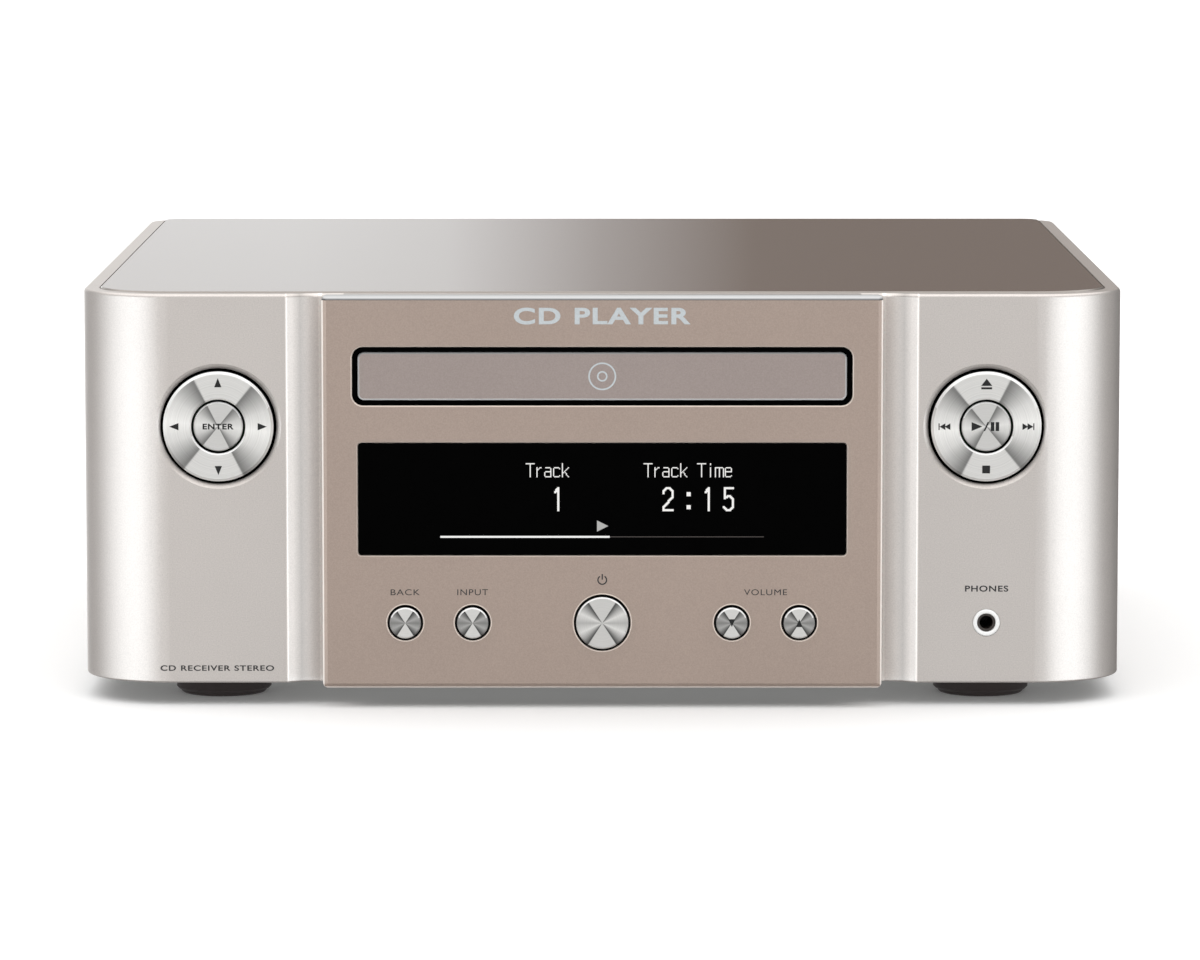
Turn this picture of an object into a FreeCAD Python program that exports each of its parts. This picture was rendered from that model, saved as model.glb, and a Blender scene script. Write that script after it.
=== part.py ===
"""Compact disc player with a built-in amplifier, as an assembly of separate solids.

Millimetres, +Z up. The origin is the centre of the footprint: X across the width, -Y towards the
front face, Z = 0 at the underside of the feet. One STEP file is written per piece.

The loading mechanism is modelled at rest: tray closed, lift frame lowered, pickup at its inner stop.
Pieces carried by the lift frame are drawn level and then lowered about its pivot by rested().
"""
import FreeCAD
import Part
import math
import os

V = FreeCAD.Vector
X_AXIS, Y_AXIS, Z_AXIS = V(1, 0, 0), V(0, 1, 0), V(0, 0, 1)

# ---------------------------------------------------------------- driving dimensions
WIDTH, DEPTH, HEIGHT = 280.0, 303.0, 111.0
HALF = WIDTH / 2
FOOT_HEIGHT = 6.0                            # gap between the table and the casing
WALL = 2.5                                   # moulded wall
SHEET = 1.0                                  # steel sheet
GAP = 0.3                                    # assembly gap between neighbouring pieces
PAST = 1.0                                   # cutters run this far past the faces they open
SCREW_R, SCREW_PILOT_R, SCREW_CLEAR_R = 1.3, 1.35, 1.7
MOTOR_SHAFT_R, MOTOR_BORE_R = 0.8, 0.85      # shafts of the loading and sled motors

BUTTON_PROUD = 1.0                           # buttons stand ahead of the centre plate
PLATE_FRONT = -DEPTH / 2 + BUTTON_PROUD      # face of the centre plate
PLATE_THICK = 3.0
PLATE_BACK = PLATE_FRONT + PLATE_THICK
PLATE_HALF = 74.7
PLATE_BEVEL, PLATE_CORNER, OPENING_EDGE = 1.3, 1.4, 0.35
FLAT = PLATE_FRONT + 6.0                     # silver flats either side of the plate
SEAM = FLAT + 28.0                           # joint between front moulding and side panels
REAR = FLAT + 283.0                          # rear corner of the side panels
TERMINAL_END = DEPTH / 2                     # rearmost point, the speaker caps

FRONT_RADIUS, REAR_RADIUS = 24.0, 10.0       # plan radii of the casing corners
RIM = 4.4                                    # silver rim around the top plate
CASE_TOP = HEIGHT - 0.4                      # rim level, just under the top plate
DECK_LOW = CASE_TOP - 4.0                    # underside of the rim and its ledge
LEDGE = CASE_TOP - 2.1                       # the top plate rests here
RIM_ROUND, FOOT_EDGE_ROUND, COVE_EDGE_ROUND = 0.9, 0.5, 1.0
REAR_WALL_END, SIDE_DECK_END = 126.0, 128.0  # the side mouldings stop here, behind and on top
LID_HALF, LID_FRONT, LID_FLANGE_LOW = 125.7, FLAT + 16.5, 96.0
PAN_LOW, PAN_TOP, PAN_FLANGE_TOP = 7.0, 8.0, 18.0

COVE_OUT, COVE_IN, COVE_DEPTH = 84.3, 74.3, 3.0   # coves beside the plate
PLINTH_HALF = 69.0                           # the plate is bonded to this block
PLINTH_INNER = PLATE_BACK + WALL             # inside face of the plinth wall

# Loading slot, display and controls, as centre heights and sizes on the face
SLOT_Z, SLOT_W, SLOT_H, SLOT_R = 89.2, 133.2, 15.6, 2.9
DOOR_W, DOOR_H, DOOR_R = 130.2, 12.8, 1.7
DISPLAY_Z, DISPLAY_W, DISPLAY_H, DISPLAY_R = 56.3, 130.2, 30.1, 0.9
BUTTON_Z = 23.1
BUTTONS = {
    "back_button": (-52.6, 4.15),
    "input_button": (-34.6, 4.15),
    "power_button": (0.0, 6.95),
    "volume_down_button": (34.6, 4.15),
    "volume_up_button": (52.6, 4.15),
}
BUTTON_CLEAR = 0.6                           # radial gap round every button
PAD_X, PAD_Z = 102.6, 75.2                   # four-way rings with a centre key
PAD_HOLE_R, PAD_RECESS_R, PAD_RECESS_DEPTH = 15.55, 16.8, 0.8
RING_R, RING_BORE_R, KEY_R = 14.75, 7.25, 6.6
JACK_X, JACK_Z, PLUG_R = 103.0, 22.3, 1.8
JACK_COLLAR_R, JACK_COLLAR_BORE_R = 3.6, 2.5
STEM_R = 1.8                                 # stems of the keys, down to their switches
KEY_TRAVEL = 0.6
CAP_EDGE = 0.35                              # chamfer round a key's face
RIDGE_OFFSET = 11.0                          # a ring's ridges, above and below its centre

# Boards behind the face
BOARD = 1.6
CENTRE_BOARD_Y = PLATE_FRONT + 12.5
SIDE_BOARD_Y = FLAT + 12.0
PIVOT_NOSE_R = 0.8                           # round ridges the pads rock on
RING_PIVOT_Y, CARRIER_PIVOT_Y = FLAT + 5.3, SIDE_BOARD_Y - 1.0
SWITCH_BODY, SWITCH_TIP = 3.5, 0.8
LOW_BOARD_Z, MAIN_BOARD_Z = 16.0, 50.0

# Disc loader, in plan
DISC_Y = -76.0
TRAY_HALF, TRAY_LOW, TRAY_TOP = 64.0, 86.0, 94.0
WELL_R, WELL_FLOOR = 60.75, 89.6
SMALL_WELL_R, SMALL_WELL_FLOOR = 40.6, 88.0
TRAY_SLOT_HALF = 20.0
TRAY_REAR = 38.0
LOADER_FRONT, LOADER_REAR = -132.5, 46.0
LOADER_LOW, LOADER_TOP = 48.0, 97.2
RAIL_X = 66.0                                # inside of the loader walls, below the tray
LOADER_HALF = 72.0

# Loading gear train: rack under the tray, 24-tooth drive gear, 16-tooth gear on a pulley, motor
MODULE = 1.0
RACK_X = -50.0
DRIVE_TEETH, IDLER_TEETH = 24, 16
GEAR_Y = -117.0
DRIVE_X = RACK_X + MODULE * DRIVE_TEETH / 2
IDLER_X = DRIVE_X + MODULE * (DRIVE_TEETH + IDLER_TEETH) / 2
MOTOR_X = 28.0
PULLEY_R, MOTOR_PULLEY_R = 11.0, 3.0
BELT_Z, BELT_R = 76.9, 0.5
GROOVE = 0.95                                # groove bottom below the belt's centre line
GEAR_LOW, GEAR_TOP, RACK_LOW = 82.8, 85.6, 83.0
DECK_TOP = 72.0
GEAR_POST_R, GEAR_BORE_R, HUB_R = 2.0, 2.08, 4.0

# Lift frame, pivoted at its rear, with the cam slider across its front
PIVOT_Y, PIVOT_Z = 28.0, 70.0
LIFT_ANGLE = 4.5
LIFT_HALF, LIFT_FRONT, LIFT_REAR = 62.0, -98.5, 33.0
CAM_PIN_X, CAM_PIN_R = 20.0, 2.0
CAM_Y0, CAM_Y1 = -102.8, -100.3
CAM_SLOPE = 30.0
CHASSIS_Z = 68.0                             # underside of the steel chassis plate, when level
CHASSIS_T = 2.0
DAMPERS = [(-50.0, -85.0), (50.0, -85.0), (-50.0, 11.0), (50.0, 11.0)]

# Pickup sled: two rods, an edge rack, a compound gear and its motor
ROD_X, ROD_Z, ROD_R = 28.0, 76.0, 1.5
ROD_FRONT, ROD_REAR = -66.0, 10.0
LENS_Y = DISC_Y + 23.5
SLED_MODULE = 0.8
SLED_RACK_X = 33.5
SLED_SMALL_TEETH, SLED_LARGE_TEETH, SLED_MOTOR_TEETH = 18, 30, 14
SLED_GEAR_X = SLED_RACK_X + SLED_MODULE * SLED_SMALL_TEETH / 2
SLED_GEAR_Y = -30.0
SLED_POST_R, SLED_BORE_R = 1.5, 1.58
SLED_LOW_Z, SLED_SPLIT_Z = 70.3, 73.0        # underside of the large gear, and of the small one
SLED_MOTOR_Y = SLED_GEAR_Y + SLED_MODULE * (SLED_LARGE_TEETH + SLED_MOTOR_TEETH) / 2
SLED_RACK_Y = SLED_GEAR_Y - 17.6             # mid-length of the edge rack with the sled at rest
DISC_LEVEL = 92.4                            # seat of the turntable, when level

# Rear connectors: x, z on the rear panel
REAR_FACE = REAR - 1.0                       # outside of the rear panel
SPEAKER_X, SPEAKER_Z, SPEAKER_PITCH = -62.0, 34.0, 19.0
POST_R, CAP_R = 3.0, 7.0
PHONO_X, PHONO_Z, PHONO_PITCH = 10.0, 34.0, 14.0
AERIAL_X, AERIAL_Z = -20.0, 76.0
LAN_X, LAN_Z = 55.0, 72.0
USB_X, USB_Z = 82.0, 72.0
OPTICAL_X, OPTICAL_Z = 45.0, 30.0
INLET_X, INLET_Z = 103.0, 33.0
COVER_SCREW_Z, COVER_SCREW_XS = 101.0, (-100.0, 0.0, 100.0)
VENT_X, VENT_Z, VENT_PITCH = -104.0, 74.0, 8.0

FOOT_X, FOOT_YS = 103.1, (FLAT + 27.0, REAR - 36.0)
FOOT_R, FOOT_PAD_R, FOOT_SEAT = 12.9, 11.6, 4.6
FOOT_PLACES = [(sx * FOOT_X, y) for sx in (-1, 1) for y in FOOT_YS]
BRIDGE_SCREWS = [(sx * 69.0, DISC_Y + dy) for sx in (-1, 1) for dy in (-16.0, 16.0)]


# ---------------------------------------------------------------- shape helpers
def box(x0, x1, y0, y1, z0, z1):
    return Part.makeBox(x1 - x0, y1 - y0, z1 - z0, V(x0, y0, z0))


def upright(r, x, y, z0, z1):
    """Cylinder along Z."""
    return Part.makeCylinder(r, z1 - z0, V(x, y, z0), Z_AXIS)


def along_y(r, x, z, y0, y1):
    return Part.makeCylinder(r, y1 - y0, V(x, y0, z), Y_AXIS)


def along_x(r, y, z, x0, x1):
    return Part.makeCylinder(r, x1 - x0, V(x0, y, z), X_AXIS)


def single(shape):
    """The one solid of a result, without the compound round it."""
    return shape.Solids[0] if len(shape.Solids) == 1 else shape


def join(shapes):
    """One solid from touching or overlapping shapes."""
    shapes = list(shapes)
    return single(shapes[0].multiFuse(shapes[1:]).removeSplitter()) if len(shapes) > 1 else shapes[0]


def carved(shape, cutters):
    """A shape with a list of cutters taken out of it."""
    return single(shape.cut(Part.makeCompound(list(cutters))))


def group(shapes):
    """Several separate solids kept in one piece file."""
    return Part.makeCompound(list(shapes))


def mirrored(shape):
    return shape.mirror(V(0, 0, 0), X_AXIS)


def both_sides(shape):
    return [shape, mirrored(shape)]


def rounded_wire(half_u, half_v, r):
    """Closed rounded rectangle round the origin, in the XY plane."""
    edges = []
    corners = [(1, 1, 0), (-1, 1, 90), (-1, -1, 180), (1, -1, 270)]
    for su, sv, angle in corners:
        centre = V(su * (half_u - r), sv * (half_v - r), 0)
        edges.append(Part.makeCircle(r, centre, Z_AXIS, angle, angle + 90))
    joined = []
    for i, arc in enumerate(edges):
        following = edges[(i + 1) % 4]
        joined.append(arc)
        start, end = arc.Vertexes[-1].Point, following.Vertexes[0].Point
        if start.distanceToPoint(end) > 1e-6:
            joined.append(Part.makeLine(start, end))
    return Part.Wire(Part.__sortEdges__(joined))


def face_slab(x, z, width, height, r, y0, y1):
    """Slab with rounded corners as seen from the front, running from y0 to y1."""
    face = Part.Face(rounded_wire(width / 2, height / 2, r))
    face.rotate(V(0, 0, 0), X_AXIS, 90)
    face.translate(V(x, y0, z))
    return face.extrude(V(0, y1 - y0, 0))


def plan_slab(x0, x1, y0, y1, r, z0, z1):
    """Slab with rounded corners as seen from above."""
    face = Part.Face(rounded_wire((x1 - x0) / 2, (y1 - y0) / 2, r))
    face.translate(V((x0 + x1) / 2, (y0 + y1) / 2, z0))
    return face.extrude(V(0, 0, z1 - z0))


def turned(profile, x, y, z, axis=Z_AXIS):
    """Solid of revolution from (radius, height) points, its foot at x, y, z and its height along axis."""
    points = [V(r, 0, h) for r, h in profile]
    solid = Part.Face(Part.makePolygon(points + points[:1])).revolve(V(0, 0, 0), Z_AXIS, 360)
    solid.Placement = FreeCAD.Placement(V(x, y, z), FreeCAD.Rotation(Z_AXIS, axis))
    return solid


def plan_prism(wire, z0, z1):
    face = Part.Face(wire)
    face.translate(V(0, 0, z0))
    return face.extrude(V(0, 0, z1 - z0))


def eased(shape, size, choose, chamfer=False):
    """Rounds, or chamfers, the edges whose middle point passes the test."""
    edges = [e for e in shape.Edges if choose(e.valueAt((e.FirstParameter + e.LastParameter) / 2))]
    return shape.makeChamfer(size, edges) if chamfer else shape.makeFillet(size, edges)


def rested(shape):
    """Lowers a piece of the lift assembly from its level drawing position to its rest position."""
    lowered = shape.copy()
    lowered.rotate(V(0, PIVOT_Y, PIVOT_Z), X_AXIS, LIFT_ANGLE)
    return lowered


def close_to(value, target, tolerance=0.01):
    return abs(value - target) < tolerance


# ---------------------------------------------------------------- gears
ADDENDUM, DEDENDUM, PRESSURE, BACKLASH = 0.9, 1.2, math.radians(20), 0.12


def spur_gear(teeth, module, x, y, z0, z1, bore, tooth_at):
    """Involute gear along Z. One tooth is centred on the direction tooth_at, in degrees."""
    pitch_r = module * teeth / 2
    base_r = pitch_r * math.cos(PRESSURE)
    tip_r, root_r = pitch_r + ADDENDUM * module, pitch_r - DEDENDUM * module
    at_pitch = math.tan(PRESSURE) - PRESSURE
    half_tooth = (math.pi * module / 2 - BACKLASH) / 2 / pitch_r
    start_r = max(base_r, root_r)
    radii = [start_r + (tip_r - start_r) * i / 4 for i in range(5)]

    def half_angle(r):
        roll = math.acos(min(1.0, base_r / r))
        return half_tooth + at_pitch - (math.tan(roll) - roll)

    points = []
    for i in range(teeth):
        middle = math.radians(tooth_at) + 2 * math.pi * i / teeth
        flank = [(root_r, half_angle(start_r))] + [(r, half_angle(r)) for r in radii]
        points += [(r, middle - a) for r, a in flank]
        points += [(r, middle + a) for r, a in reversed(flank)]
    outline = [V(x + r * math.cos(a), y + r * math.sin(a), 0) for r, a in points]
    blank = plan_prism(Part.makePolygon(outline + outline[:1]), z0, z1)
    return carved(blank, [upright(bore, x, y, z0 - PAST, z1 + PAST)])


def edge_rack(module, pitch_x, back_x, y0, y1, gap_y, z0, z1):
    """Rack along Y with teeth facing +X and one tooth gap centred on gap_y."""
    pitch = math.pi * module
    tip, root = pitch_x + ADDENDUM * module, pitch_x - DEDENDUM * module
    half = (pitch / 2 - BACKLASH) / 2
    lean = math.tan(PRESSURE)
    first = math.ceil((y0 + pitch - gap_y) / pitch - 0.5)
    points = [V(back_x, y0, 0), V(root, y0, 0)]
    centre = gap_y + (first + 0.5) * pitch
    while centre + pitch / 2 < y1:
        foot, head = half + lean * DEDENDUM * module, half - lean * ADDENDUM * module
        points += [V(root, centre - foot, 0), V(tip, centre - head, 0)]
        points += [V(tip, centre + head, 0), V(root, centre + foot, 0)]
        centre += pitch
    points += [V(root, y1, 0), V(back_x, y1, 0)]
    return plan_prism(Part.makePolygon(points + points[:1]), z0, z1)


# ---------------------------------------------------------------- casing
def front_outline(inset):
    """Plan outline of the front moulding, moved inwards by inset; the back edge is the seam."""
    y_flat, y_cove, y_plinth = FLAT + inset, FLAT + COVE_DEPTH + inset, PLATE_BACK + inset
    x_side, r = HALF - inset, FRONT_RADIUS - inset
    x_plinth = PLINTH_HALF - inset
    middle = FRONT_RADIUS - r * math.sqrt(0.5)
    cove_r = ((COVE_OUT - COVE_IN) ** 2 + COVE_DEPTH ** 2) / (2 * COVE_DEPTH)
    half_turn = math.asin((COVE_OUT - COVE_IN) / cove_r) / 2
    cove_mid = (COVE_IN + cove_r * math.sin(half_turn), y_cove - cove_r * (1 - math.cos(half_turn)))
    right = [
        Part.makeLine(V(x_side, SEAM, 0), V(x_side, FLAT + FRONT_RADIUS, 0)),
        Part.Arc(V(x_side, FLAT + FRONT_RADIUS, 0), V(HALF - middle, FLAT + middle, 0),
                 V(HALF - FRONT_RADIUS, y_flat, 0)).toShape(),
        Part.makeLine(V(HALF - FRONT_RADIUS, y_flat, 0), V(COVE_OUT, y_flat, 0)),
        Part.Arc(V(COVE_OUT, y_flat, 0), V(*cove_mid, 0), V(COVE_IN, y_cove, 0)).toShape(),
        Part.makeLine(V(COVE_IN, y_cove, 0), V(x_plinth, y_cove, 0)),
        Part.makeLine(V(x_plinth, y_cove, 0), V(x_plinth, y_plinth, 0)),
    ]
    across = [
        Part.makeLine(V(x_plinth, y_plinth, 0), V(-x_plinth, y_plinth, 0)),
        Part.makeLine(V(-x_side, SEAM, 0), V(x_side, SEAM, 0)),
    ]
    edges = right + [mirrored(e) for e in right] + across
    return Part.Wire(Part.__sortEdges__(edges))


def top_plate_blank(grow, z0, z1):
    """The top plate's outline, grown by a gap: wide front corners, tight rear ones."""
    x, r_front, r_rear = HALF - RIM + grow, FRONT_RADIUS - RIM + grow, REAR_RADIUS - RIM + grow
    y_front, y_rear = FLAT + RIM - grow, REAR - 0.8 + grow
    front = plan_slab(-x, x, y_front, y_rear - r_rear, r_front, z0, z1)
    rear = plan_slab(-x, x, y_front + 2 * r_front, y_rear, r_rear, z0, z1)
    return join([front, rear, box(-x, x, y_front + r_front, y_rear - r_rear, z0, z1)])


def front_panel():
    """Silver front moulding: rounded corners, flats, coves and the plinth that carries the plate."""
    solid = plan_prism(front_outline(0), FOOT_HEIGHT, CASE_TOP)
    solid = eased(solid, COVE_EDGE_ROUND, lambda p: close_to(abs(p.x), COVE_OUT) and
                  close_to(p.y, FLAT) and FOOT_HEIGHT < p.z < CASE_TOP)
    for z, size in ((CASE_TOP, RIM_ROUND), (FOOT_HEIGHT, FOOT_EDGE_ROUND)):
        solid = eased(solid, size, lambda p: close_to(p.z, z) and p.y < SEAM - 1 and
                      abs(p.x) > PLINTH_HALF)
    hollow = plan_prism(front_outline(WALL), FOOT_HEIGHT - PAST, DECK_LOW)
    seam_mouth = box(-HALF + WALL, HALF - WALL, SEAM - WALL - PAST, SEAM + PAST,
                     FOOT_HEIGHT - PAST, DECK_LOW)
    lid_gap = box(-SIDE_DECK_END, SIDE_DECK_END, LID_FRONT - 0.5, SEAM + PAST, DECK_LOW - PAST, HEIGHT)
    cuts = [hollow, seam_mouth, lid_gap, top_plate_blank(GAP, LEDGE, HEIGHT + PAST)]
    y0, y1 = PLATE_BACK - PAST, PLINTH_INNER + PAST
    cuts.append(face_slab(0, SLOT_Z, SLOT_W, SLOT_H, SLOT_R, y0, PLINTH_INNER + 6))
    cuts.append(face_slab(0, DISPLAY_Z, DISPLAY_W - 6, DISPLAY_H - 5, 1, y0, y1))
    for x, r in BUTTONS.values():
        cuts.append(along_y(r + BUTTON_CLEAR, x, BUTTON_Z, y0, y1))
    for x in (-PAD_X, PAD_X):
        cuts.append(along_y(PAD_HOLE_R, x, PAD_Z, FLAT - PAST, FLAT + WALL + PAST))
        cuts.append(Part.makeCone(PAD_RECESS_R, PAD_HOLE_R, PAD_RECESS_DEPTH, V(x, FLAT, PAD_Z),
                                  Y_AXIS))
    cuts.append(along_y(JACK_COLLAR_R + 0.1, JACK_X, JACK_Z, FLAT - PAST, FLAT + WALL + PAST))
    return carved(solid, cuts)


def side_panel():
    """Right-hand side panel: one moulding from the seam round the rear corner."""
    y0, r = SEAM + 0.15, REAR_RADIUS

    def outline(inset, x_end):
        middle = r - (r - inset) * math.sqrt(0.5)
        x, y = HALF - inset, REAR - inset
        return [
            Part.makeLine(V(x, y0, 0), V(x, REAR - r, 0)),
            Part.Arc(V(x, REAR - r, 0), V(HALF - middle, REAR - middle, 0),
                     V(HALF - r, y, 0)).toShape(),
            Part.makeLine(V(HALF - r, y, 0), V(x_end, y, 0)),
        ]

    def closed(outer, inner):
        ends = [Part.makeLine(outer[0].Vertexes[0].Point, inner[0].Vertexes[0].Point),
                Part.makeLine(outer[-1].Vertexes[-1].Point, inner[-1].Vertexes[-1].Point)]
        return Part.Wire(Part.__sortEdges__(outer + inner + ends))

    section = closed(outline(0, REAR_WALL_END), outline(WALL, REAR_WALL_END))
    wall = plan_prism(section, FOOT_HEIGHT, CASE_TOP)
    rear_corner, front_corner = V(SIDE_DECK_END, REAR, 0), V(SIDE_DECK_END, y0, 0)
    deck_edges = outline(0, SIDE_DECK_END) + [Part.makeLine(rear_corner, front_corner),
                                              Part.makeLine(front_corner, V(HALF, y0, 0))]
    deck = plan_prism(Part.Wire(Part.__sortEdges__(deck_edges)), DECK_LOW, CASE_TOP)
    solid = join([wall, deck])
    solid = eased(solid, RIM_ROUND, lambda p: close_to(p.z, CASE_TOP) and
                  (close_to(p.x, HALF) or (p.y > REAR - r and p.x > HALF - r)))
    return carved(solid, [top_plate_blank(GAP, LEDGE, HEIGHT + PAST)])


def top_plate():
    """Glossy hard-coated plate let into the silver rim."""
    plate = top_plate_blank(0, LEDGE, HEIGHT)
    return eased(plate, 0.4, lambda p: close_to(p.z, HEIGHT), chamfer=True)


def top_cover():
    """Steel lid under the top plate, with a flange screwed to the rear panel."""
    y1, z1 = REAR_FACE + 0.1, LEDGE - 0.1
    lid = box(-LID_HALF, LID_HALF, LID_FRONT, y1, z1 - SHEET, z1)
    flange = box(-LID_HALF + 0.7, LID_HALF - 0.7, y1, y1 + SHEET, LID_FLANGE_LOW, z1)
    holes = [along_y(SCREW_CLEAR_R, x, COVER_SCREW_Z, y1 - PAST, REAR + PAST) for x in COVER_SCREW_XS]
    return carved(join([lid, flange]), holes)


def bottom_chassis():
    """Steel base pan with vent slots, foot holes and side flanges."""
    x, y0, y1 = HALF - WALL - 0.5, FLAT + COVE_DEPTH + WALL + 0.5, REAR - WALL - 0.3
    pan = join([plan_slab(-x, x, y0, y0 + 60, FRONT_RADIUS - WALL, PAN_LOW, PAN_TOP),
                plan_slab(-x, x, y0 + 30, y1, REAR_RADIUS - 2, PAN_LOW, PAN_TOP)])
    flange = box(x - SHEET, x, SEAM + 2, y1 - 10, PAN_LOW, PAN_FLANGE_TOP)
    pan = join([pan] + both_sides(flange) + loader_brackets())
    z0, z1 = PAN_LOW - PAST, PAN_TOP + PAST
    slot_x, slot_half, slot_width, slot_pitch, first_slot_y = 60.0, 16.0, 3.0, 8.0, 20.0
    slots = []
    for i in range(10):
        y_slot = first_slot_y + slot_pitch * i
        slot = plan_slab(slot_x - slot_half, slot_x + slot_half, y_slot, y_slot + slot_width, 1.4, z0, z1)
        slots += both_sides(slot)
    holes = [upright(SCREW_CLEAR_R, x, y, z0, z1) for x, y in FOOT_PLACES]
    return carved(pan, slots + holes)


def rear_panel():
    """Steel rear panel with a cut-out for every connector and a vent."""
    y0, y1 = REAR_FACE - SHEET, REAR_FACE
    panel = box(-LID_HALF + 0.1, LID_HALF - 0.1, y0, y1, PAN_TOP + 0.2, LEDGE - 0.2 - SHEET)
    y0, y1 = y0 - PAST, y1 + PAST
    cuts = [face_slab(SPEAKER_X, SPEAKER_Z, 62.4, 42.4, 2, y0, y1)]
    cuts.append(face_slab(PHONO_X, PHONO_Z, 36.4, 34.4, 1, y0, y1))
    cuts.append(face_slab(OPTICAL_X, OPTICAL_Z, 10.4, 10.4, 0.5, y0, y1))
    cuts.append(face_slab(LAN_X, LAN_Z, 16.6, 14.4, 0.3, y0, y1))
    cuts.append(face_slab(USB_X, USB_Z, 14.0, 6.8, 0.3, y0, y1))
    cuts.append(face_slab(INLET_X, INLET_Z, 22.4, 16.4, 2, y0, y1))
    cuts.append(along_y(5.6, AERIAL_X, AERIAL_Z, y0, y1))
    for i in range(9):
        cuts.append(face_slab(VENT_X + VENT_PITCH * i, VENT_Z, 3, 22, 1.4, y0, y1))
    cuts += [along_y(SCREW_PILOT_R, x, COVER_SCREW_Z, y0, y1) for x in COVER_SCREW_XS]
    return carved(panel, cuts)


def feet():
    """Four round feet, each a hard ring with a screw hole and a soft pad let into its underside."""
    recess_top, hub_r = 2.4, 3.6
    ring = [(SCREW_CLEAR_R, FOOT_SEAT), (SCREW_CLEAR_R, PAN_LOW), (FOOT_R - 0.8, PAN_LOW),
            (FOOT_R - 0.4, 5.6), (FOOT_R, 5.2), (FOOT_R, 1.6), (FOOT_R - 0.6, 1.0),
            (FOOT_PAD_R + 0.2, 1.0), (FOOT_PAD_R + 0.2, recess_top), (hub_r, recess_top),
            (hub_r, FOOT_SEAT)]
    pad = [(hub_r + 0.4, 0.0), (FOOT_PAD_R - 0.4, 0.0), (FOOT_PAD_R, 0.4), (FOOT_PAD_R, recess_top),
           (hub_r + 0.4, recess_top)]
    return group(turned(profile, x, y, 0) for x, y in FOOT_PLACES for profile in (ring, pad))


def screw(x, y, z, length, axis, head_r=2.8, shank_r=SCREW_R):
    """Pan-head screw: its head's underside at x, y, z, the shank running along axis."""
    profile = [(0, -1.8), (head_r * 0.6, -1.8), (head_r, -1.0), (head_r, 0), (shank_r, 0),
               (shank_r, length - 0.6), (shank_r - 0.5, length), (0, length)]
    head = turned(profile, x, y, z, axis)
    slot = turned([(0, -2.0), (head_r * 0.35, -2.0), (0, -0.9)], x, y, z, axis)
    return carved(head, [slot])


def case_screws():
    """The same screw in the feet, the cover flange and the clamp bridge."""
    screws = [screw(x, y, FOOT_SEAT, 7, Z_AXIS) for x, y in FOOT_PLACES]
    flange = REAR_FACE + 0.1 + SHEET
    screws += [screw(x, flange, COVER_SCREW_Z, 7, -Y_AXIS) for x in COVER_SCREW_XS]
    screws += [screw(x, y, LOADER_TOP + 1.2, 7, -Z_AXIS) for x, y in BRIDGE_SCREWS]
    return group(screws)


# ---------------------------------------------------------------- face and controls
def centre_plate():
    """Champagne plate with bevelled edges, standing proud on the plinth."""
    z0, z1 = FOOT_HEIGHT - 0.6, HEIGHT - 0.2
    plate = face_slab(0, (z0 + z1) / 2, 2 * PLATE_HALF, z1 - z0, PLATE_CORNER, PLATE_FRONT,
                      PLATE_BACK)
    plate = eased(plate, PLATE_BEVEL, lambda p: close_to(p.y, PLATE_FRONT), chamfer=True)
    y0, y1 = PLATE_FRONT - PAST, PLATE_BACK + PAST
    cuts = [face_slab(0, SLOT_Z, SLOT_W, SLOT_H, SLOT_R, y0, y1)]
    cuts.append(face_slab(0, DISPLAY_Z, DISPLAY_W, DISPLAY_H, DISPLAY_R, y0, y1))
    cuts += [along_y(r + BUTTON_CLEAR, x, BUTTON_Z, y0, y1) for x, r in BUTTONS.values()]
    plate = carved(plate, cuts)
    return eased(plate, OPENING_EDGE, lambda p: close_to(p.y, PLATE_FRONT) and
                 abs(p.x) < PLINTH_HALF and z0 + 2 < p.z < z1 - 2, chamfer=True)


def tray_bezel():
    """Black liner of the loading slot, with lips above and below behind the plinth wall."""
    front, back = PLATE_FRONT + 0.25, PLINTH_INNER + 5.0
    tube = face_slab(0, SLOT_Z, SLOT_W - 0.1, SLOT_H - 0.1, SLOT_R - 0.05, front, back)
    flange = face_slab(0, SLOT_Z, SLOT_W - 4, SLOT_H + 5, 1, PLINTH_INNER + 0.05,
                       PLINTH_INNER + 1.25)
    opening = face_slab(0, SLOT_Z, DOOR_W + 0.8, DOOR_H + 0.8, DOOR_R + 0.4, front - PAST, back + PAST)
    return carved(join([tube, flange]), [opening])


def display_window():
    """Smoked window with a step that locates it in the plate."""
    front = face_slab(0, DISPLAY_Z, DISPLAY_W - 0.1, DISPLAY_H - 0.1, DISPLAY_R - 0.05,
                      PLATE_FRONT + 0.05, PLATE_BACK - 0.05)
    step = face_slab(0, DISPLAY_Z, DISPLAY_W - 7, DISPLAY_H - 6, 0.8, PLATE_BACK - 0.05,
                     PLINTH_INNER - 0.5)
    return join([front, step])


def display_module():
    """Glass display panel on its own carrier, behind the window."""
    y0 = PLINTH_INNER + 0.4
    glass = face_slab(0, DISPLAY_Z, 116, 24, 0.5, y0, y0 + 2.2)
    carrier = box(-62, 62, y0 + 2.2, y0 + 5.0, DISPLAY_Z - 14, DISPLAY_Z + 14)
    return join([glass, carrier])


def push_button(x, r):
    """Round metal-faced key: cap, retaining flange and stem."""
    front, back = -DEPTH / 2, PLINTH_INNER + 0.2 + KEY_TRAVEL
    tip = CENTRE_BOARD_Y - SWITCH_BODY - SWITCH_TIP
    cap = along_y(r, x, BUTTON_Z, front, back)
    cap = eased(cap, CAP_EDGE, lambda p: close_to(p.y, front), chamfer=True)
    flange = along_y(r + 1.5, x, BUTTON_Z, PLINTH_INNER + 0.1, back)
    stem = along_y(STEM_R, x, BUTTON_Z, back, tip - KEY_TRAVEL - 0.1)
    return join([cap, flange, stem])


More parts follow.
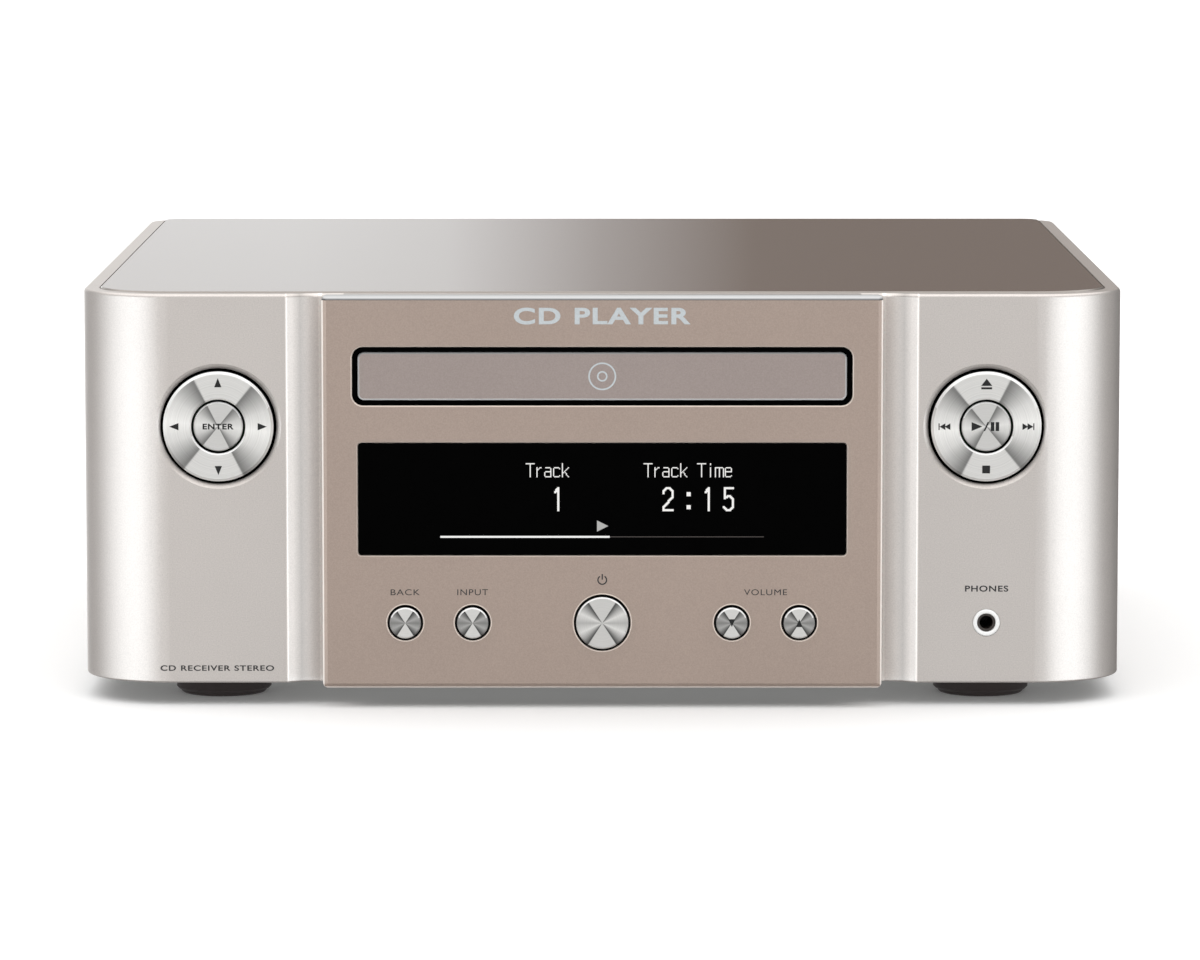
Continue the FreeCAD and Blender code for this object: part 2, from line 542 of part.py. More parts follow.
def pad_ring(x):
    """Four-way ring: spun face, two rear ridges that rock on the carrier."""
    front, back = FLAT - 0.8, FLAT + 4.2
    ring = along_y(RING_R, x, PAD_Z, front, back)
    ring = eased(ring, 0.7, lambda p: close_to(p.y, front), chamfer=True)
    ring = carved(ring, [along_y(RING_BORE_R, x, PAD_Z, front - PAST, back + PAST)])
    ring = eased(ring, 0.45, lambda p: close_to(p.y, front) and
                 math.hypot(p.x - x, p.z - PAD_Z) < RING_BORE_R + 0.1, chamfer=True)
    ridges = []
    for z in (PAD_Z - RIDGE_OFFSET, PAD_Z + RIDGE_OFFSET):
        ridges.append(box(x - PIVOT_NOSE_R, x + PIVOT_NOSE_R, back, RING_PIVOT_Y, z - 2, z + 2))
        ridges.append(upright(PIVOT_NOSE_R, x, RING_PIVOT_Y, z - 2, z + 2))
    return join([ring] + ridges)


def pad_carrier(x):
    """Moulded carrier behind the ring; its side ridges rock on the key board."""
    disc = along_y(17.0, x, PAD_Z, FLAT + 5.3, FLAT + 7.2)
    grooves = [upright(PIVOT_NOSE_R + 0.08, x, RING_PIVOT_Y, z - 2.3, z + 2.3)
               for z in (PAD_Z - RIDGE_OFFSET, PAD_Z + RIDGE_OFFSET)]
    disc = carved(disc, [along_y(7.6, x, PAD_Z, FLAT + 5, FLAT + 8)] + grooves)
    ridges = []
    for x_ridge in (x - 13, x + 13):
        ridges.append(box(x_ridge - 1.2, x_ridge + 1.2, FLAT + 7.2, CARRIER_PIVOT_Y,
                          PAD_Z - PIVOT_NOSE_R, PAD_Z + PIVOT_NOSE_R))
        ridges.append(along_x(PIVOT_NOSE_R, CARRIER_PIVOT_Y, PAD_Z, x_ridge - 1.2, x_ridge + 1.2))
    return join([disc] + ridges)


def centre_key(x):
    """Centre key of a ring, with its stem."""
    front = FLAT - 0.5
    tip = SIDE_BOARD_Y - SWITCH_BODY - SWITCH_TIP
    cap = along_y(KEY_R, x, PAD_Z, front, FLAT + 6.0)
    cap = eased(cap, CAP_EDGE, lambda p: close_to(p.y, front), chamfer=True)
    return join([cap, along_y(STEM_R, x, PAD_Z, FLAT + 6.0, tip - KEY_TRAVEL - 0.1)])


def headphone_socket():
    """3.5 mm socket with a bright collar: nose, body and a plain bore for the plug."""
    inner, outer, edge, length = JACK_COLLAR_BORE_R, JACK_COLLAR_R, 0.3, 2.6
    profile = [(inner, edge), (inner + edge, 0), (outer - edge, 0), (outer, edge), (outer, length),
               (inner, length)]
    collar = turned(profile, JACK_X, FLAT - edge, JACK_Z, Y_AXIS)
    nose = along_y(inner - 0.05, JACK_X, JACK_Z, FLAT + 0.9, FLAT + 3.2)
    body = box(JACK_X - 5, JACK_X + 5, FLAT + 3.2, FLAT + 18, JACK_Z - 5, JACK_Z + 5)
    bore = along_y(PLUG_R, JACK_X, JACK_Z, FLAT, FLAT + 16.9)
    return group([collar, carved(join([nose, body]), [bore])])


# ---------------------------------------------------------------- boards behind the face
def tact_switch(x, z, board_y):
    body = box(x - 3, x + 3, board_y - SWITCH_BODY, board_y, z - 3, z + 3)
    return join([body, along_y(1.7, x, z, board_y - SWITCH_BODY - SWITCH_TIP, board_y - SWITCH_BODY)])


def key_boards():
    """Boards behind the face with their switches, and the small one under the headphone socket."""
    switches = [tact_switch(x, BUTTON_Z, CENTRE_BOARD_Y) for x, _ in BUTTONS.values()]
    for x in (-PAD_X, PAD_X):
        switches.append(tact_switch(x, PAD_Z, SIDE_BOARD_Y))
        for dx, dz in ((0, 12.5), (0, -12.5), (8.6, 0), (-8.6, 0)):
            switches.append(box(x + dx - 2, x + dx + 2, SIDE_BOARD_Y - 3.0, SIDE_BOARD_Y,
                                PAD_Z + dz - 2, PAD_Z + dz + 2))
    boards = [box(-66, 66, CENTRE_BOARD_Y, CENTRE_BOARD_Y + BOARD, 12, 74)]
    boards += both_sides(box(80, 125, SIDE_BOARD_Y, SIDE_BOARD_Y + BOARD, 52, 98))
    boards.append(box(JACK_X - 8, JACK_X + 8, FLAT + 4, FLAT + 26, JACK_Z - 5 - BOARD, JACK_Z - 5))
    return group(boards + switches)


# ---------------------------------------------------------------- disc loader, fixed pieces
def loader_frame():
    """Moulded frame: side walls with tray ledges, gear deck, cam rail and pivot sockets."""
    wall = box(RAIL_X, LOADER_HALF, LOADER_FRONT, LOADER_REAR, LOADER_LOW, LOADER_TOP)
    inner = box(TRAY_HALF + 0.4, RAIL_X, LOADER_FRONT, LOADER_REAR, 80, LOADER_TOP)
    ledge = box(TRAY_HALF - 5, RAIL_X, LOADER_FRONT, LOADER_REAR, 80, TRAY_LOW - 0.1)
    tab = box(TRAY_HALF - 2.5, RAIL_X, LOADER_FRONT, LOADER_FRONT + 14, TRAY_TOP + 0.3, LOADER_TOP)
    parts = both_sides(join([wall, inner, ledge, tab]))
    parts.append(box(-RAIL_X, RAIL_X, LOADER_FRONT, LOADER_FRONT + 2.5, LOADER_LOW,
                     RACK_LOW - 0.6))
    parts.append(box(-RAIL_X, RAIL_X, LOADER_REAR - 3, LOADER_REAR, LOADER_LOW, 78))
    parts.append(box(-RAIL_X, RAIL_X, LOADER_FRONT, -104.5, DECK_TOP - 2, DECK_TOP))
    rail_front, rail_rear = CAM_Y0 - 0.2, CAM_Y1 + 0.2
    parts.append(box(-RAIL_X, RAIL_X, rail_front - 2, rail_rear + 1.2, LOADER_LOW, 51.8))
    parts.append(box(-RAIL_X, RAIL_X, rail_front - 2, rail_front, LOADER_LOW, 54))
    parts.append(box(-RAIL_X, RAIL_X, rail_rear, rail_rear + 1.2, LOADER_LOW, 54))
    for x in (DRIVE_X, IDLER_X):
        parts.append(upright(GEAR_POST_R, x, GEAR_Y, DECK_TOP, GEAR_TOP + 0.2))
    frame = join(parts)
    cuts = [upright(2.6, MOTOR_X, GEAR_Y, DECK_TOP - 3, DECK_TOP + 1)]
    cuts.append(along_x(CAM_PIN_R + 0.08, PIVOT_Y, PIVOT_Z, -LOADER_HALF - 1, LOADER_HALF + 1))
    cuts += [upright(SCREW_PILOT_R, x, y, LOADER_TOP - 8, LOADER_TOP + PAST) for x, y in BRIDGE_SCREWS]
    return carved(frame, cuts)


def loader_brackets():
    """Two steel channels, spot-welded to the base, that hold the loader."""
    x0, x1 = 74.0, 84.0
    web = box(x0 - 0.05, x0 + SHEET, -120, 40, 8.0, 60)
    foot = box(x0, x1, -120, 40, 8.0, 9.0)
    lip = box(LOADER_HALF - 10, x0 + SHEET, -120, 40, LOADER_LOW - SHEET, LOADER_LOW)
    web = carved(web, [box(x0 - 1, x0 + 2, -90, 10, 18, 40)])
    return both_sides(join([web, foot, lip]))


def clamp_bridge():
    """Steel bridge across the loader that holds the clamper over the turntable."""
    y0, y1 = DISC_Y - 22, DISC_Y + 22
    z0, z1 = LOADER_TOP, LOADER_TOP + 1.2
    bridge = plan_slab(-LOADER_HALF, LOADER_HALF, y0, y1, 3, z0, z1)
    ribs = [box(-58, 58, y, y + 2, z1, z1 + 1.5) for y in (y0 + 0.8, y1 - 2.8)]
    holes = [upright(16.0, 0, DISC_Y, z0 - PAST, z1 + PAST)]
    holes += [upright(SCREW_CLEAR_R, x, y, z0 - PAST, z1 + PAST) for x, y in BRIDGE_SCREWS]
    return carved(join([bridge] + ribs), holes)


def loading_motor():
    """Small motor hung under the gear deck, its boss in the deck."""
    can = upright(10.0, MOTOR_X, GEAR_Y, 53.0, DECK_TOP - 2)
    can = can.common(box(MOTOR_X - 10, MOTOR_X + 10, GEAR_Y - 7.7, GEAR_Y + 7.7, 50, 80))
    boss = upright(2.4, MOTOR_X, GEAR_Y, DECK_TOP - 2, DECK_TOP - 0.2)
    return carved(join([can, boss]), [upright(MOTOR_BORE_R, MOTOR_X, GEAR_Y, 62, 80)])


# ---------------------------------------------------------------- disc loader, moving pieces
def disc_tray():
    """Sliding tray: disc well, small-disc well, rear slot for the turntable, rack underneath."""
    y0 = PLATE_FRONT + 5.3
    body = box(-TRAY_HALF, TRAY_HALF, y0, TRAY_REAR, TRAY_LOW, TRAY_TOP)
    well = upright(WELL_R, 0, DISC_Y, WELL_FLOOR, TRAY_TOP + PAST)
    small = upright(SMALL_WELL_R, 0, DISC_Y, SMALL_WELL_FLOOR, TRAY_TOP + PAST)
    eye = upright(TRAY_SLOT_HALF, 0, DISC_Y, TRAY_LOW - PAST, TRAY_TOP + PAST)
    slot = box(-TRAY_SLOT_HALF, TRAY_SLOT_HALF, DISC_Y, TRAY_REAR + 1, TRAY_LOW - PAST, TRAY_TOP + PAST)
    finger = upright(9, 0, DISC_Y - WELL_R, WELL_FLOOR, TRAY_TOP + PAST)
    body = carved(body, [well, small, eye, slot, finger])
    rack = edge_rack(MODULE, RACK_X, RACK_X - 3.6, GEAR_Y - 9, TRAY_REAR - 2, GEAR_Y, RACK_LOW,
                     TRAY_LOW)
    return join([body, rack])


def tray_door():
    """Decorative front of the tray, flush with the centre plate."""
    y0, y1 = PLATE_FRONT + 0.1, PLATE_FRONT + 5.2
    door = face_slab(0, SLOT_Z, DOOR_W, DOOR_H, DOOR_R, y0, y1)
    return eased(door, 0.45, lambda p: close_to(p.y, y0), chamfer=True)


def drive_gear():
    gear = spur_gear(DRIVE_TEETH, MODULE, DRIVE_X, GEAR_Y, GEAR_LOW, GEAR_TOP, GEAR_BORE_R, 180)
    hub = upright(HUB_R, DRIVE_X, GEAR_Y, DECK_TOP + 0.2, GEAR_TOP)
    return carved(join([gear, hub]), [upright(GEAR_BORE_R, DRIVE_X, GEAR_Y, DECK_TOP, GEAR_TOP + 1)])


def pulley_profile(outer, groove, bore, z0, z1):
    """Pulley half-section with a round-bottomed belt groove, as (radius, height) points."""
    middle = (z0 + z1) / 2
    steps = [(groove + (outer - groove) * abs(t), middle + 1.1 * t) for t in (-1, -0.5, 0, 0.5, 1)]
    return [(bore, z0), (outer, z0)] + steps + [(outer, z1), (bore, z1)]


def idler_gear():
    """Belt pulley and 16-tooth gear in one piece."""
    half_step = 180.0 / IDLER_TEETH
    gear = spur_gear(IDLER_TEETH, MODULE, IDLER_X, GEAR_Y, GEAR_LOW, GEAR_TOP, GEAR_BORE_R, 180 + half_step)
    pulley = turned(pulley_profile(PULLEY_R + 0.6, PULLEY_R - GROOVE, GEAR_BORE_R, BELT_Z - 1.7,
                                   BELT_Z + 1.7), IDLER_X, GEAR_Y, 0)
    hub = upright(HUB_R, IDLER_X, GEAR_Y, DECK_TOP + 0.2, GEAR_TOP)
    bore = upright(GEAR_BORE_R, IDLER_X, GEAR_Y, DECK_TOP, GEAR_TOP + 1)
    return carved(join([gear, pulley, hub]), [bore])


def motor_pulley():
    """Small pulley with the motor's shaft."""
    pulley = turned(pulley_profile(MOTOR_PULLEY_R + 0.6, MOTOR_PULLEY_R - GROOVE, 0,
                                   BELT_Z - 1.7, BELT_Z + 1.7), MOTOR_X, GEAR_Y, 0)
    return join([pulley, upright(MOTOR_SHAFT_R, MOTOR_X, GEAR_Y, 62.2, BELT_Z)])


def loading_belt():
    """Round belt, open drive between the two pulleys."""
    span = MOTOR_X - IDLER_X
    lean = math.acos((PULLEY_R - MOTOR_PULLEY_R) / span)

    def tangent(centre_x, r, angle):
        return V(centre_x + r * math.cos(angle), GEAR_Y + r * math.sin(angle), BELT_Z)

    big_top, small_top = tangent(IDLER_X, PULLEY_R, lean), tangent(MOTOR_X, MOTOR_PULLEY_R, lean)
    big_low, small_low = tangent(IDLER_X, PULLEY_R, -lean), tangent(MOTOR_X, MOTOR_PULLEY_R, -lean)
    path = Part.Wire([
        Part.makeLine(big_top, small_top),
        Part.Arc(small_top, V(MOTOR_X + MOTOR_PULLEY_R, GEAR_Y, BELT_Z), small_low).toShape(),
        Part.makeLine(small_low, big_low),
        Part.Arc(big_low, V(IDLER_X - PULLEY_R, GEAR_Y, BELT_Z), big_top).toShape(),
    ])
    direction = small_top.sub(big_top)
    section = Part.Wire(Part.makeCircle(BELT_R, big_top, direction))
    return path.makePipeShell([section], True, True)


def cam_slider():
    """Sliding plate whose sloping slot lifts the front pin of the lift frame."""
    drop = (PIVOT_Y - (CAM_Y0 + CAM_Y1) / 2) * math.tan(math.radians(LIFT_ANGLE))
    run = drop / math.tan(math.radians(CAM_SLOPE))
    low = V(CAM_PIN_X, 0, PIVOT_Z - drop)
    high = V(CAM_PIN_X - run, 0, PIVOT_Z)
    along = high.sub(low).normalize()
    low, high = low.sub(along * 0.8), high.add(along * 0.8)
    y0, y1, half = CAM_Y0, CAM_Y1, CAM_PIN_R + 0.3
    plate = box(CAM_PIN_X - run - 12, CAM_PIN_X + 14, y0, y1, 52.1, 69.6)
    plate = join([plate, box(CAM_PIN_X - run - 7, CAM_PIN_X - run + 9, y0, y1, 69.6, 75.0)])
    across = V(-along.z, 0, along.x) * half
    corners = [p.add(V(0, y0 - 1, 0)) for p in (low.add(across), high.add(across),
                                                high.sub(across), low.sub(across))]
    channel = Part.Face(Part.makePolygon(corners + corners[:1])).extrude(V(0, y1 - y0 + 2, 0))
    ends = [along_y(half, p.x, p.z, y0 - PAST, y1 + PAST) for p in (low, high)]
    return carved(plate, [channel] + ends)


def lift_frame():
    """Pivoting frame round the pickup chassis, with rear pins and a front cam pin."""
    z0, z1 = 65.5, 74.5
    ring = box(-LIFT_HALF, LIFT_HALF, LIFT_FRONT, LIFT_REAR, z0, z1)
    ring = carved(ring, [box(-57.5, 57.5, LIFT_FRONT + 5, LIFT_REAR - 5, z0 - PAST, z1 + PAST)])
    lugs = []
    for x, y in DAMPERS:
        side = math.copysign(1, x)
        x0, x1 = sorted((x - side * 5, side * (LIFT_HALF - 2)))
        lugs.append(box(x0, x1, y - 5, y + 5, 60.0, 62.5))
        x0, x1 = sorted((side * 57.5, side * LIFT_HALF))
        lugs.append(box(x0, x1, y - 5, y + 5, 60.0, z0))
    pins = [along_x(CAM_PIN_R, PIVOT_Y, PIVOT_Z, x, x + 9) for x in (-LIFT_HALF - 9, LIFT_HALF)]
    cam_pin = along_y(CAM_PIN_R, CAM_PIN_X, PIVOT_Z, CAM_Y0 - 0.1, LIFT_FRONT)
    frame = join([ring] + lugs + pins + [cam_pin])
    return rested(carved(frame, [upright(SCREW_PILOT_R, x, y, 59, 63) for x, y in DAMPERS]))


def pickup_chassis():
    """Steel chassis plate that floats on the dampers and carries motors, rods and gears."""
    z0, z1 = CHASSIS_Z, CHASSIS_Z + CHASSIS_T
    plate = plan_slab(-56, 56, -91, 17, 4, z0, z1)
    cuts = [box(-22, 22, ROD_FRONT + 3.5, 6, z0 - PAST, z1 + PAST)]
    cuts += [upright(SCREW_CLEAR_R, x, y, z0 - PAST, z1 + PAST) for x, y in DAMPERS]
    cuts.append(upright(2.3, SLED_GEAR_X, SLED_MOTOR_Y, z0 - PAST, z1 + PAST))
    stands = []
    for x in (-ROD_X, ROD_X):
        for y in (ROD_FRONT, ROD_REAR - 4):
            stands.append(box(x - 2.8, x + 2.8, y, y + 4, z1, ROD_Z + 2.6))
    post = upright(SLED_POST_R, SLED_GEAR_X, SLED_GEAR_Y, z1, 78.5)
    chassis = join([plate] + stands + [post])
    cuts += [along_y(ROD_R, x, ROD_Z, ROD_FRONT - 1, ROD_REAR + 1) for x in (-ROD_X, ROD_X)]
    return rested(carved(chassis, cuts))


def dampers():
    """Rubber bushes between chassis and lift frame, each with its shoulder screw."""
    profile = [(1.6, 62.5), (4.2, 62.5), (4.2, 64.2), (3.2, 65.2), (4.2, 66.2), (4.2, 68.0), (1.6, 68.0)]
    bushes = [turned(profile, x, y, 0) for x, y in DAMPERS]
    screws = [screw(x, y, CHASSIS_Z + CHASSIS_T, 9.5, -Z_AXIS) for x, y in DAMPERS]
    return rested(group(bushes + screws))


def guide_rods():
    return rested(group(along_y(ROD_R, x, ROD_Z, ROD_FRONT, ROD_REAR) for x in (-ROD_X, ROD_X)))


def spindle_motor():
    """Flat motor under the turntable."""
    z0 = CHASSIS_Z + CHASSIS_T
    profile = [(1.06, z0), (12, z0), (12, 80.0), (10.5, 81.5), (4, 81.5), (4, 84), (1.06, 84)]
    return turned(profile, 0, DISC_Y, 0)


def pickup_motors():
    """Spindle motor and sled motor, both screwed to the pickup chassis."""
    return rested(group([spindle_motor(), sled_motor()]))


def turntable():
    """Turntable with centring cone and the motor shaft."""
    profile = [(0, 70.5), (1.0, 70.5), (1.0, 85.5), (5, 85.5), (5, 89.6), (14.6, 89.6), (15, 90),
               (15, DISC_LEVEL), (9.5, DISC_LEVEL), (9.5, DISC_LEVEL - 0.8), (7.45, DISC_LEVEL - 0.8),
               (7.45, DISC_LEVEL + 1.2), (6.2, DISC_LEVEL + 2.4), (0, DISC_LEVEL + 2.4)]
    return rested(turned(profile, 0, DISC_Y, 0))


def clamper():
    """Puck that hangs in the bridge and grips the disc, with its magnet and steel yoke."""
    puck = [(8.0, 93.9), (14.0, 93.9), (14.0, 97.0), (15.0, 97.2), (15.0, 98.9), (18.5, 98.9),
               (18.5, 100.4), (11.0, 100.4), (11.0, 99.0), (0, 99.0), (0, 97.4), (8.0, 97.4)]
    magnet = [(3.0, 99.0), (9.5, 99.0), (9.5, 102.0), (3.0, 102.0)]
    yoke = [(0, 102.0), (10.4, 102.0), (10.4, 102.8), (0, 102.8)]
    return group(turned(profile, 0, DISC_Y, 0) for profile in (puck, magnet, yoke))


def sled():
    """Pickup body on two rods, its edge rack on the main-rod side."""
    y0, y1 = LENS_Y - 9, LENS_Y + 19
    body = box(-20, 20, y0, y1, 64.5, 82.4)
    shoulder = box(-26, 26, y0 + 2, y1 - 2, 78.2, 81.2)
    main = box(24.5, 31, y0, y1, 73.4, 81.2)
    slave = box(-31, -24.5, y1 - 14, y1 - 4, 73.4, 81.2)
    rack = edge_rack(SLED_MODULE, SLED_RACK_X, 31.0, SLED_RACK_Y - 20, SLED_RACK_Y + 20,
                     SLED_GEAR_Y, 74.0, 77.0)
    rail = box(31.0, 32.4, SLED_RACK_Y - 20, SLED_RACK_Y + 20, 77.0, 79.0)
    carriage = join([body, shoulder, main, slave, rail, rack])
    window = box(-9.4, 9.4, LENS_Y - 7.4, LENS_Y + 7.4, 79.0, 83)
    bores = [along_y(ROD_R + 0.06, x, ROD_Z, y0 - 2, y1 + 2) for x in (-ROD_X, ROD_X)]
    return rested(carved(carriage, [window] + bores))


def lens_holder():
    """Focus carriage with the objective lens in it."""
    block = plan_slab(-7.4, 7.4, LENS_Y - 5.4, LENS_Y + 5.4, 1.5, 84.0, 88.2)
    profile = [(0, 86.4), (2.3, 86.4), (2.3, 88.2), (1.9, 88.8), (1.1, 89.2), (0, 89.35)]
    lens = turned(profile, 0, LENS_Y, 0)
    return rested(group([carved(block, [upright(2.3, 0, LENS_Y, 83, 90)]), lens]))


def sled_gear():
    """Compound gear: small gear on the sled's rack, large gear driven by the motor."""
    x, y = SLED_GEAR_X, SLED_GEAR_Y
    small = spur_gear(SLED_SMALL_TEETH, SLED_MODULE, x, y, SLED_SPLIT_Z, 77.4, SLED_BORE_R, 180)
    large = spur_gear(SLED_LARGE_TEETH, SLED_MODULE, x, y, SLED_LOW_Z, SLED_SPLIT_Z, SLED_BORE_R, 90)
    return rested(join([small, large]))


def sled_motor():
    can = upright(8.0, SLED_GEAR_X, SLED_MOTOR_Y, 54.0, CHASSIS_Z)
    boss = upright(2.1, SLED_GEAR_X, SLED_MOTOR_Y, CHASSIS_Z, CHASSIS_Z + CHASSIS_T - 0.2)
    return carved(join([can, boss]), [upright(MOTOR_BORE_R, SLED_GEAR_X, SLED_MOTOR_Y, 60, 75)])


def sled_pinion():
    """Pinion with the sled motor's shaft."""
    x, y = SLED_GEAR_X, SLED_MOTOR_Y
    half_step = 180.0 / SLED_MOTOR_TEETH
    pinion = spur_gear(SLED_MOTOR_TEETH, SLED_MODULE, x, y, SLED_LOW_Z, 73.2, 0.5, -90 + half_step)
    return rested(join([pinion, upright(MOTOR_SHAFT_R, x, y, 60.2, 73.2)]))


# ---------------------------------------------------------------- electronics
def raised_board(x0, x1, y0, y1, z, leg_inset=4.0):
    """Circuit board on four legs that stand on the base."""
    board = box(x0, x1, y0, y1, z, z + BOARD)
    legs = [upright(2.5, x, y, FOOT_HEIGHT + 2, z) for x in (x0 + leg_inset, x1 - leg_inset)
            for y in (y0 + leg_inset, y1 - leg_inset)]
    return join([board] + legs)


def power_board():
    """Power supply along the left wall: transformer, bulk capacitors, choke and fuse."""
    top = LOW_BOARD_Z + BOARD
    parts = [raised_board(-130, -88, -70, 120, LOW_BOARD_Z)]
    parts.append(join([box(-126, -94, 20, 58, top, top + 30),
                       box(-122, -98, 24, 54, top + 30, top + 33)]))
    for y in (-8.0, -34.0):
        parts.append(eased(upright(11, -109, y, top, top + 36), 1, lambda p: close_to(p.z, top + 36)))
    parts.append(turned([(4, 0), (10, 0), (10, 9), (4, 9)], -109, 78, top))
    parts.append(box(-122, -98, 96, 101, top, top + 6))
    return group(parts)


def heat_sink():
    """Finned aluminium block over the amplifier chips."""
    z = LOW_BOARD_Z + BOARD + 0.2
    base = box(98, 124, -40, 50, z, z + 4)
    fins = [box(98 + 3.5 * i, 99.4 + 3.5 * i, -40, 50, z + 4, z + 34) for i in range(8)]
    return join([base] + fins)


def amplifier_board():
    """Amplifier along the right wall, with output chokes and capacitors."""
    top = LOW_BOARD_Z + BOARD
    parts = [raised_board(92, 130, -60, 120, LOW_BOARD_Z)]
    parts += [box(100, 111, 58 + 14 * i, 69 + 14 * i, top, top + 11) for i in range(4)]
    parts += [upright(4.5, 120, 63 + 14 * i, top, top + 14) for i in range(4)]
    return group(parts)


def main_board():
    """Digital board behind the loader: processor, memory, shielded radio module, connectors."""
    top = MAIN_BOARD_Z + BOARD
    parts = [raised_board(-68, 68, 52, 118, MAIN_BOARD_Z)]
    parts += [box(-16, 8, 78, 102, top, top + 1.6), box(18, 34, 82, 92, top, top + 1.2)]
    parts.append(box(-50, -22, 84, 116, top, top + 4))
    parts.append(box(-30, -6, 56, 61, top, top + 4))
    parts.append(box(12, 40, 56, 61, top, top + 4))
    parts += [upright(3.2, 44, 100 + 9 * i, top, top + 8) for i in range(3)]
    return group(parts)


def flat_cable(x0, x1, points, thick=0.3):
    """Ribbon of constant thickness across x0..x1, following (y, z) points."""
    strips = []
    for (ya, za), (yb, zb) in zip(points, points[1:]):
        run = V(0, yb - ya, zb - za)
        side = V(0, -run.z, run.y).normalize() * (thick / 2)
        a, b = V(x0, ya, za), V(x0, yb, zb)
        corners = [a.add(side), b.add(side), b.sub(side), a.sub(side)]
        strip = Part.Face(Part.makePolygon(corners + corners[:1])).extrude(V(x1 - x0, 0, 0))
        strips.append(strip)
        strips.append(along_x(thick / 2, yb, zb, x0, x1))
    return join(strips[:-1])


def ribbon_cables():
    """Flat cables from the front boards and from the loader to the main board."""
    z_board = MAIN_BOARD_Z + BOARD + 4.15
    front = flat_cable(-29, -7, [(CENTRE_BOARD_Y + BOARD + 0.2, 20), (-128, 14), (40, 14),
                                 (49, 24), (49, z_board + 1), (58, z_board)])
    loader = flat_cable(14, 38, [(LOADER_REAR + 0.3, 60), (LOADER_REAR + 0.3, z_board + 2),
                                 (50, z_board + 4), (58, z_board)])
    return group([front, loader])


# ---------------------------------------------------------------- rear connectors
def speaker_places():
    for sx in (-1, 1):
        for sz in (-1, 1):
            yield SPEAKER_X + sx * SPEAKER_PITCH / 2, SPEAKER_Z + sz * SPEAKER_PITCH / 2


def speaker_block():
    """Black moulding that carries the four binding posts."""
    y0 = REAR_FACE - SHEET
    flange = face_slab(SPEAKER_X, SPEAKER_Z, 66, 46, 3, REAR_FACE + 0.05, REAR_FACE + 2.2)
    body = face_slab(SPEAKER_X, SPEAKER_Z, 62, 42, 1.8, y0 - 8, REAR_FACE + 0.05)
    collars = [along_y(8.2, x, z, REAR_FACE + 2.2, REAR_FACE + 3.2) for x, z in speaker_places()]
    block = join([flange, body] + collars)
    return carved(block, [along_y(POST_R, x, z, y0 - 10, REAR_FACE + 4) for x, z in speaker_places()])


def speaker_posts():
    """Metal posts with a 4 mm socket in the end."""
    posts = []
    for x, z in speaker_places():
        post = along_y(POST_R, x, z, REAR_FACE - SHEET - 14, TERMINAL_END - 1.0)
        posts.append(carved(post, [along_y(2.0, x, z, TERMINAL_END - 12.0, TERMINAL_END)]))
    return group(posts)


def speaker_cap(x, z):
    """Fluted cap that turns on a post to grip the bare wire."""
    y0, y1 = REAR_FACE + 4.4, TERMINAL_END
    cap = along_y(CAP_R, x, z, y0, y1)
    cap = eased(cap, 0.6, lambda p: close_to(p.y, y0) or close_to(p.y, y1), chamfer=True)
    flute_r, flute_at = 1.2, CAP_R + 0.5
    flutes = [along_y(flute_r, x + flute_at * math.cos(a), z + flute_at * math.sin(a), y0 - PAST,
                      y1 + PAST)
              for a in (2 * math.pi * i / 12 for i in range(12))]
    bore = along_y(POST_R + 0.07, x, z, y0 - PAST, TERMINAL_END - 0.8)
    return carved(cap, flutes + [bore, along_y(2.5, x, z, y0, y1 + 1)])


def phono_places():
    for sx in (-1, 1):
        for sz in (-1, 1):
            yield PHONO_X + sx * PHONO_PITCH / 2, PHONO_Z + sz * PHONO_PITCH / 2


def phono_sockets():
    """Moulding with four phono sockets: insulators with a hole for the plug's pin, plated shells."""
    y0 = REAR_FACE - SHEET
    body = face_slab(PHONO_X, PHONO_Z, 36, 34, 0.8, y0 - 10, REAR_FACE + 0.8)
    cores = [along_y(3.3, x, z, REAR_FACE, REAR_FACE + 9) for x, z in phono_places()]
    holes = [along_y(1.65, x, z, REAR_FACE - 1, REAR_FACE + 10) for x, z in phono_places()]
    profile = [(3.35, 0), (5.2, 0), (5.2, 0.8), (4.15, 1.6), (4.15, 8.0), (3.8, 8.4), (3.35, 8.4)]
    shells = [turned(profile, x, REAR_FACE + 0.85, z, Y_AXIS) for x, z in phono_places()]
    return group([carved(join([body] + cores), holes)] + shells)


def aerial_socket():
    """Coaxial aerial socket with a nut behind the panel."""
    barrel = along_y(4.75, AERIAL_X, AERIAL_Z, REAR_FACE, REAR_FACE + 9)
    barrel = eased(barrel, 0.4, lambda p: close_to(p.y, REAR_FACE + 9), chamfer=True)
    flange = along_y(7.0, AERIAL_X, AERIAL_Z, REAR_FACE + 0.05, REAR_FACE + 1.4)
    inner = along_y(5.5, AERIAL_X, AERIAL_Z, REAR_FACE - SHEET - 8, REAR_FACE + 0.1)
    hole = along_y(1.2, AERIAL_X, AERIAL_Z, REAR_FACE, REAR_FACE + 10)
    return carved(join([barrel, flange, inner]), [hole])


def socket_shell(x, z, width, height, wall, depth):
    """Open rectangular socket with a blind back."""
    shell = box(x - width / 2, x + width / 2, REAR_FACE - depth, REAR_FACE + 0.6,
                z - height / 2, z + height / 2)
    hollow = box(x - width / 2 + wall, x + width / 2 - wall, REAR_FACE - depth + 1.5,
                 REAR_FACE + 1, z - height / 2 + wall, z + height / 2 - wall)
    return carved(shell, [hollow])


def lan_socket():
    return socket_shell(LAN_X, LAN_Z, 16.2, 14.0, 1.6, 16)


def usb_socket():
    shell = socket_shell(USB_X, USB_Z, 13.6, 6.4, 0.6, 14)
    tongue = box(USB_X - 5, USB_X + 5, REAR_FACE - 12.6, REAR_FACE - 1, USB_Z, USB_Z + 1.6)
    return join([shell, tongue])


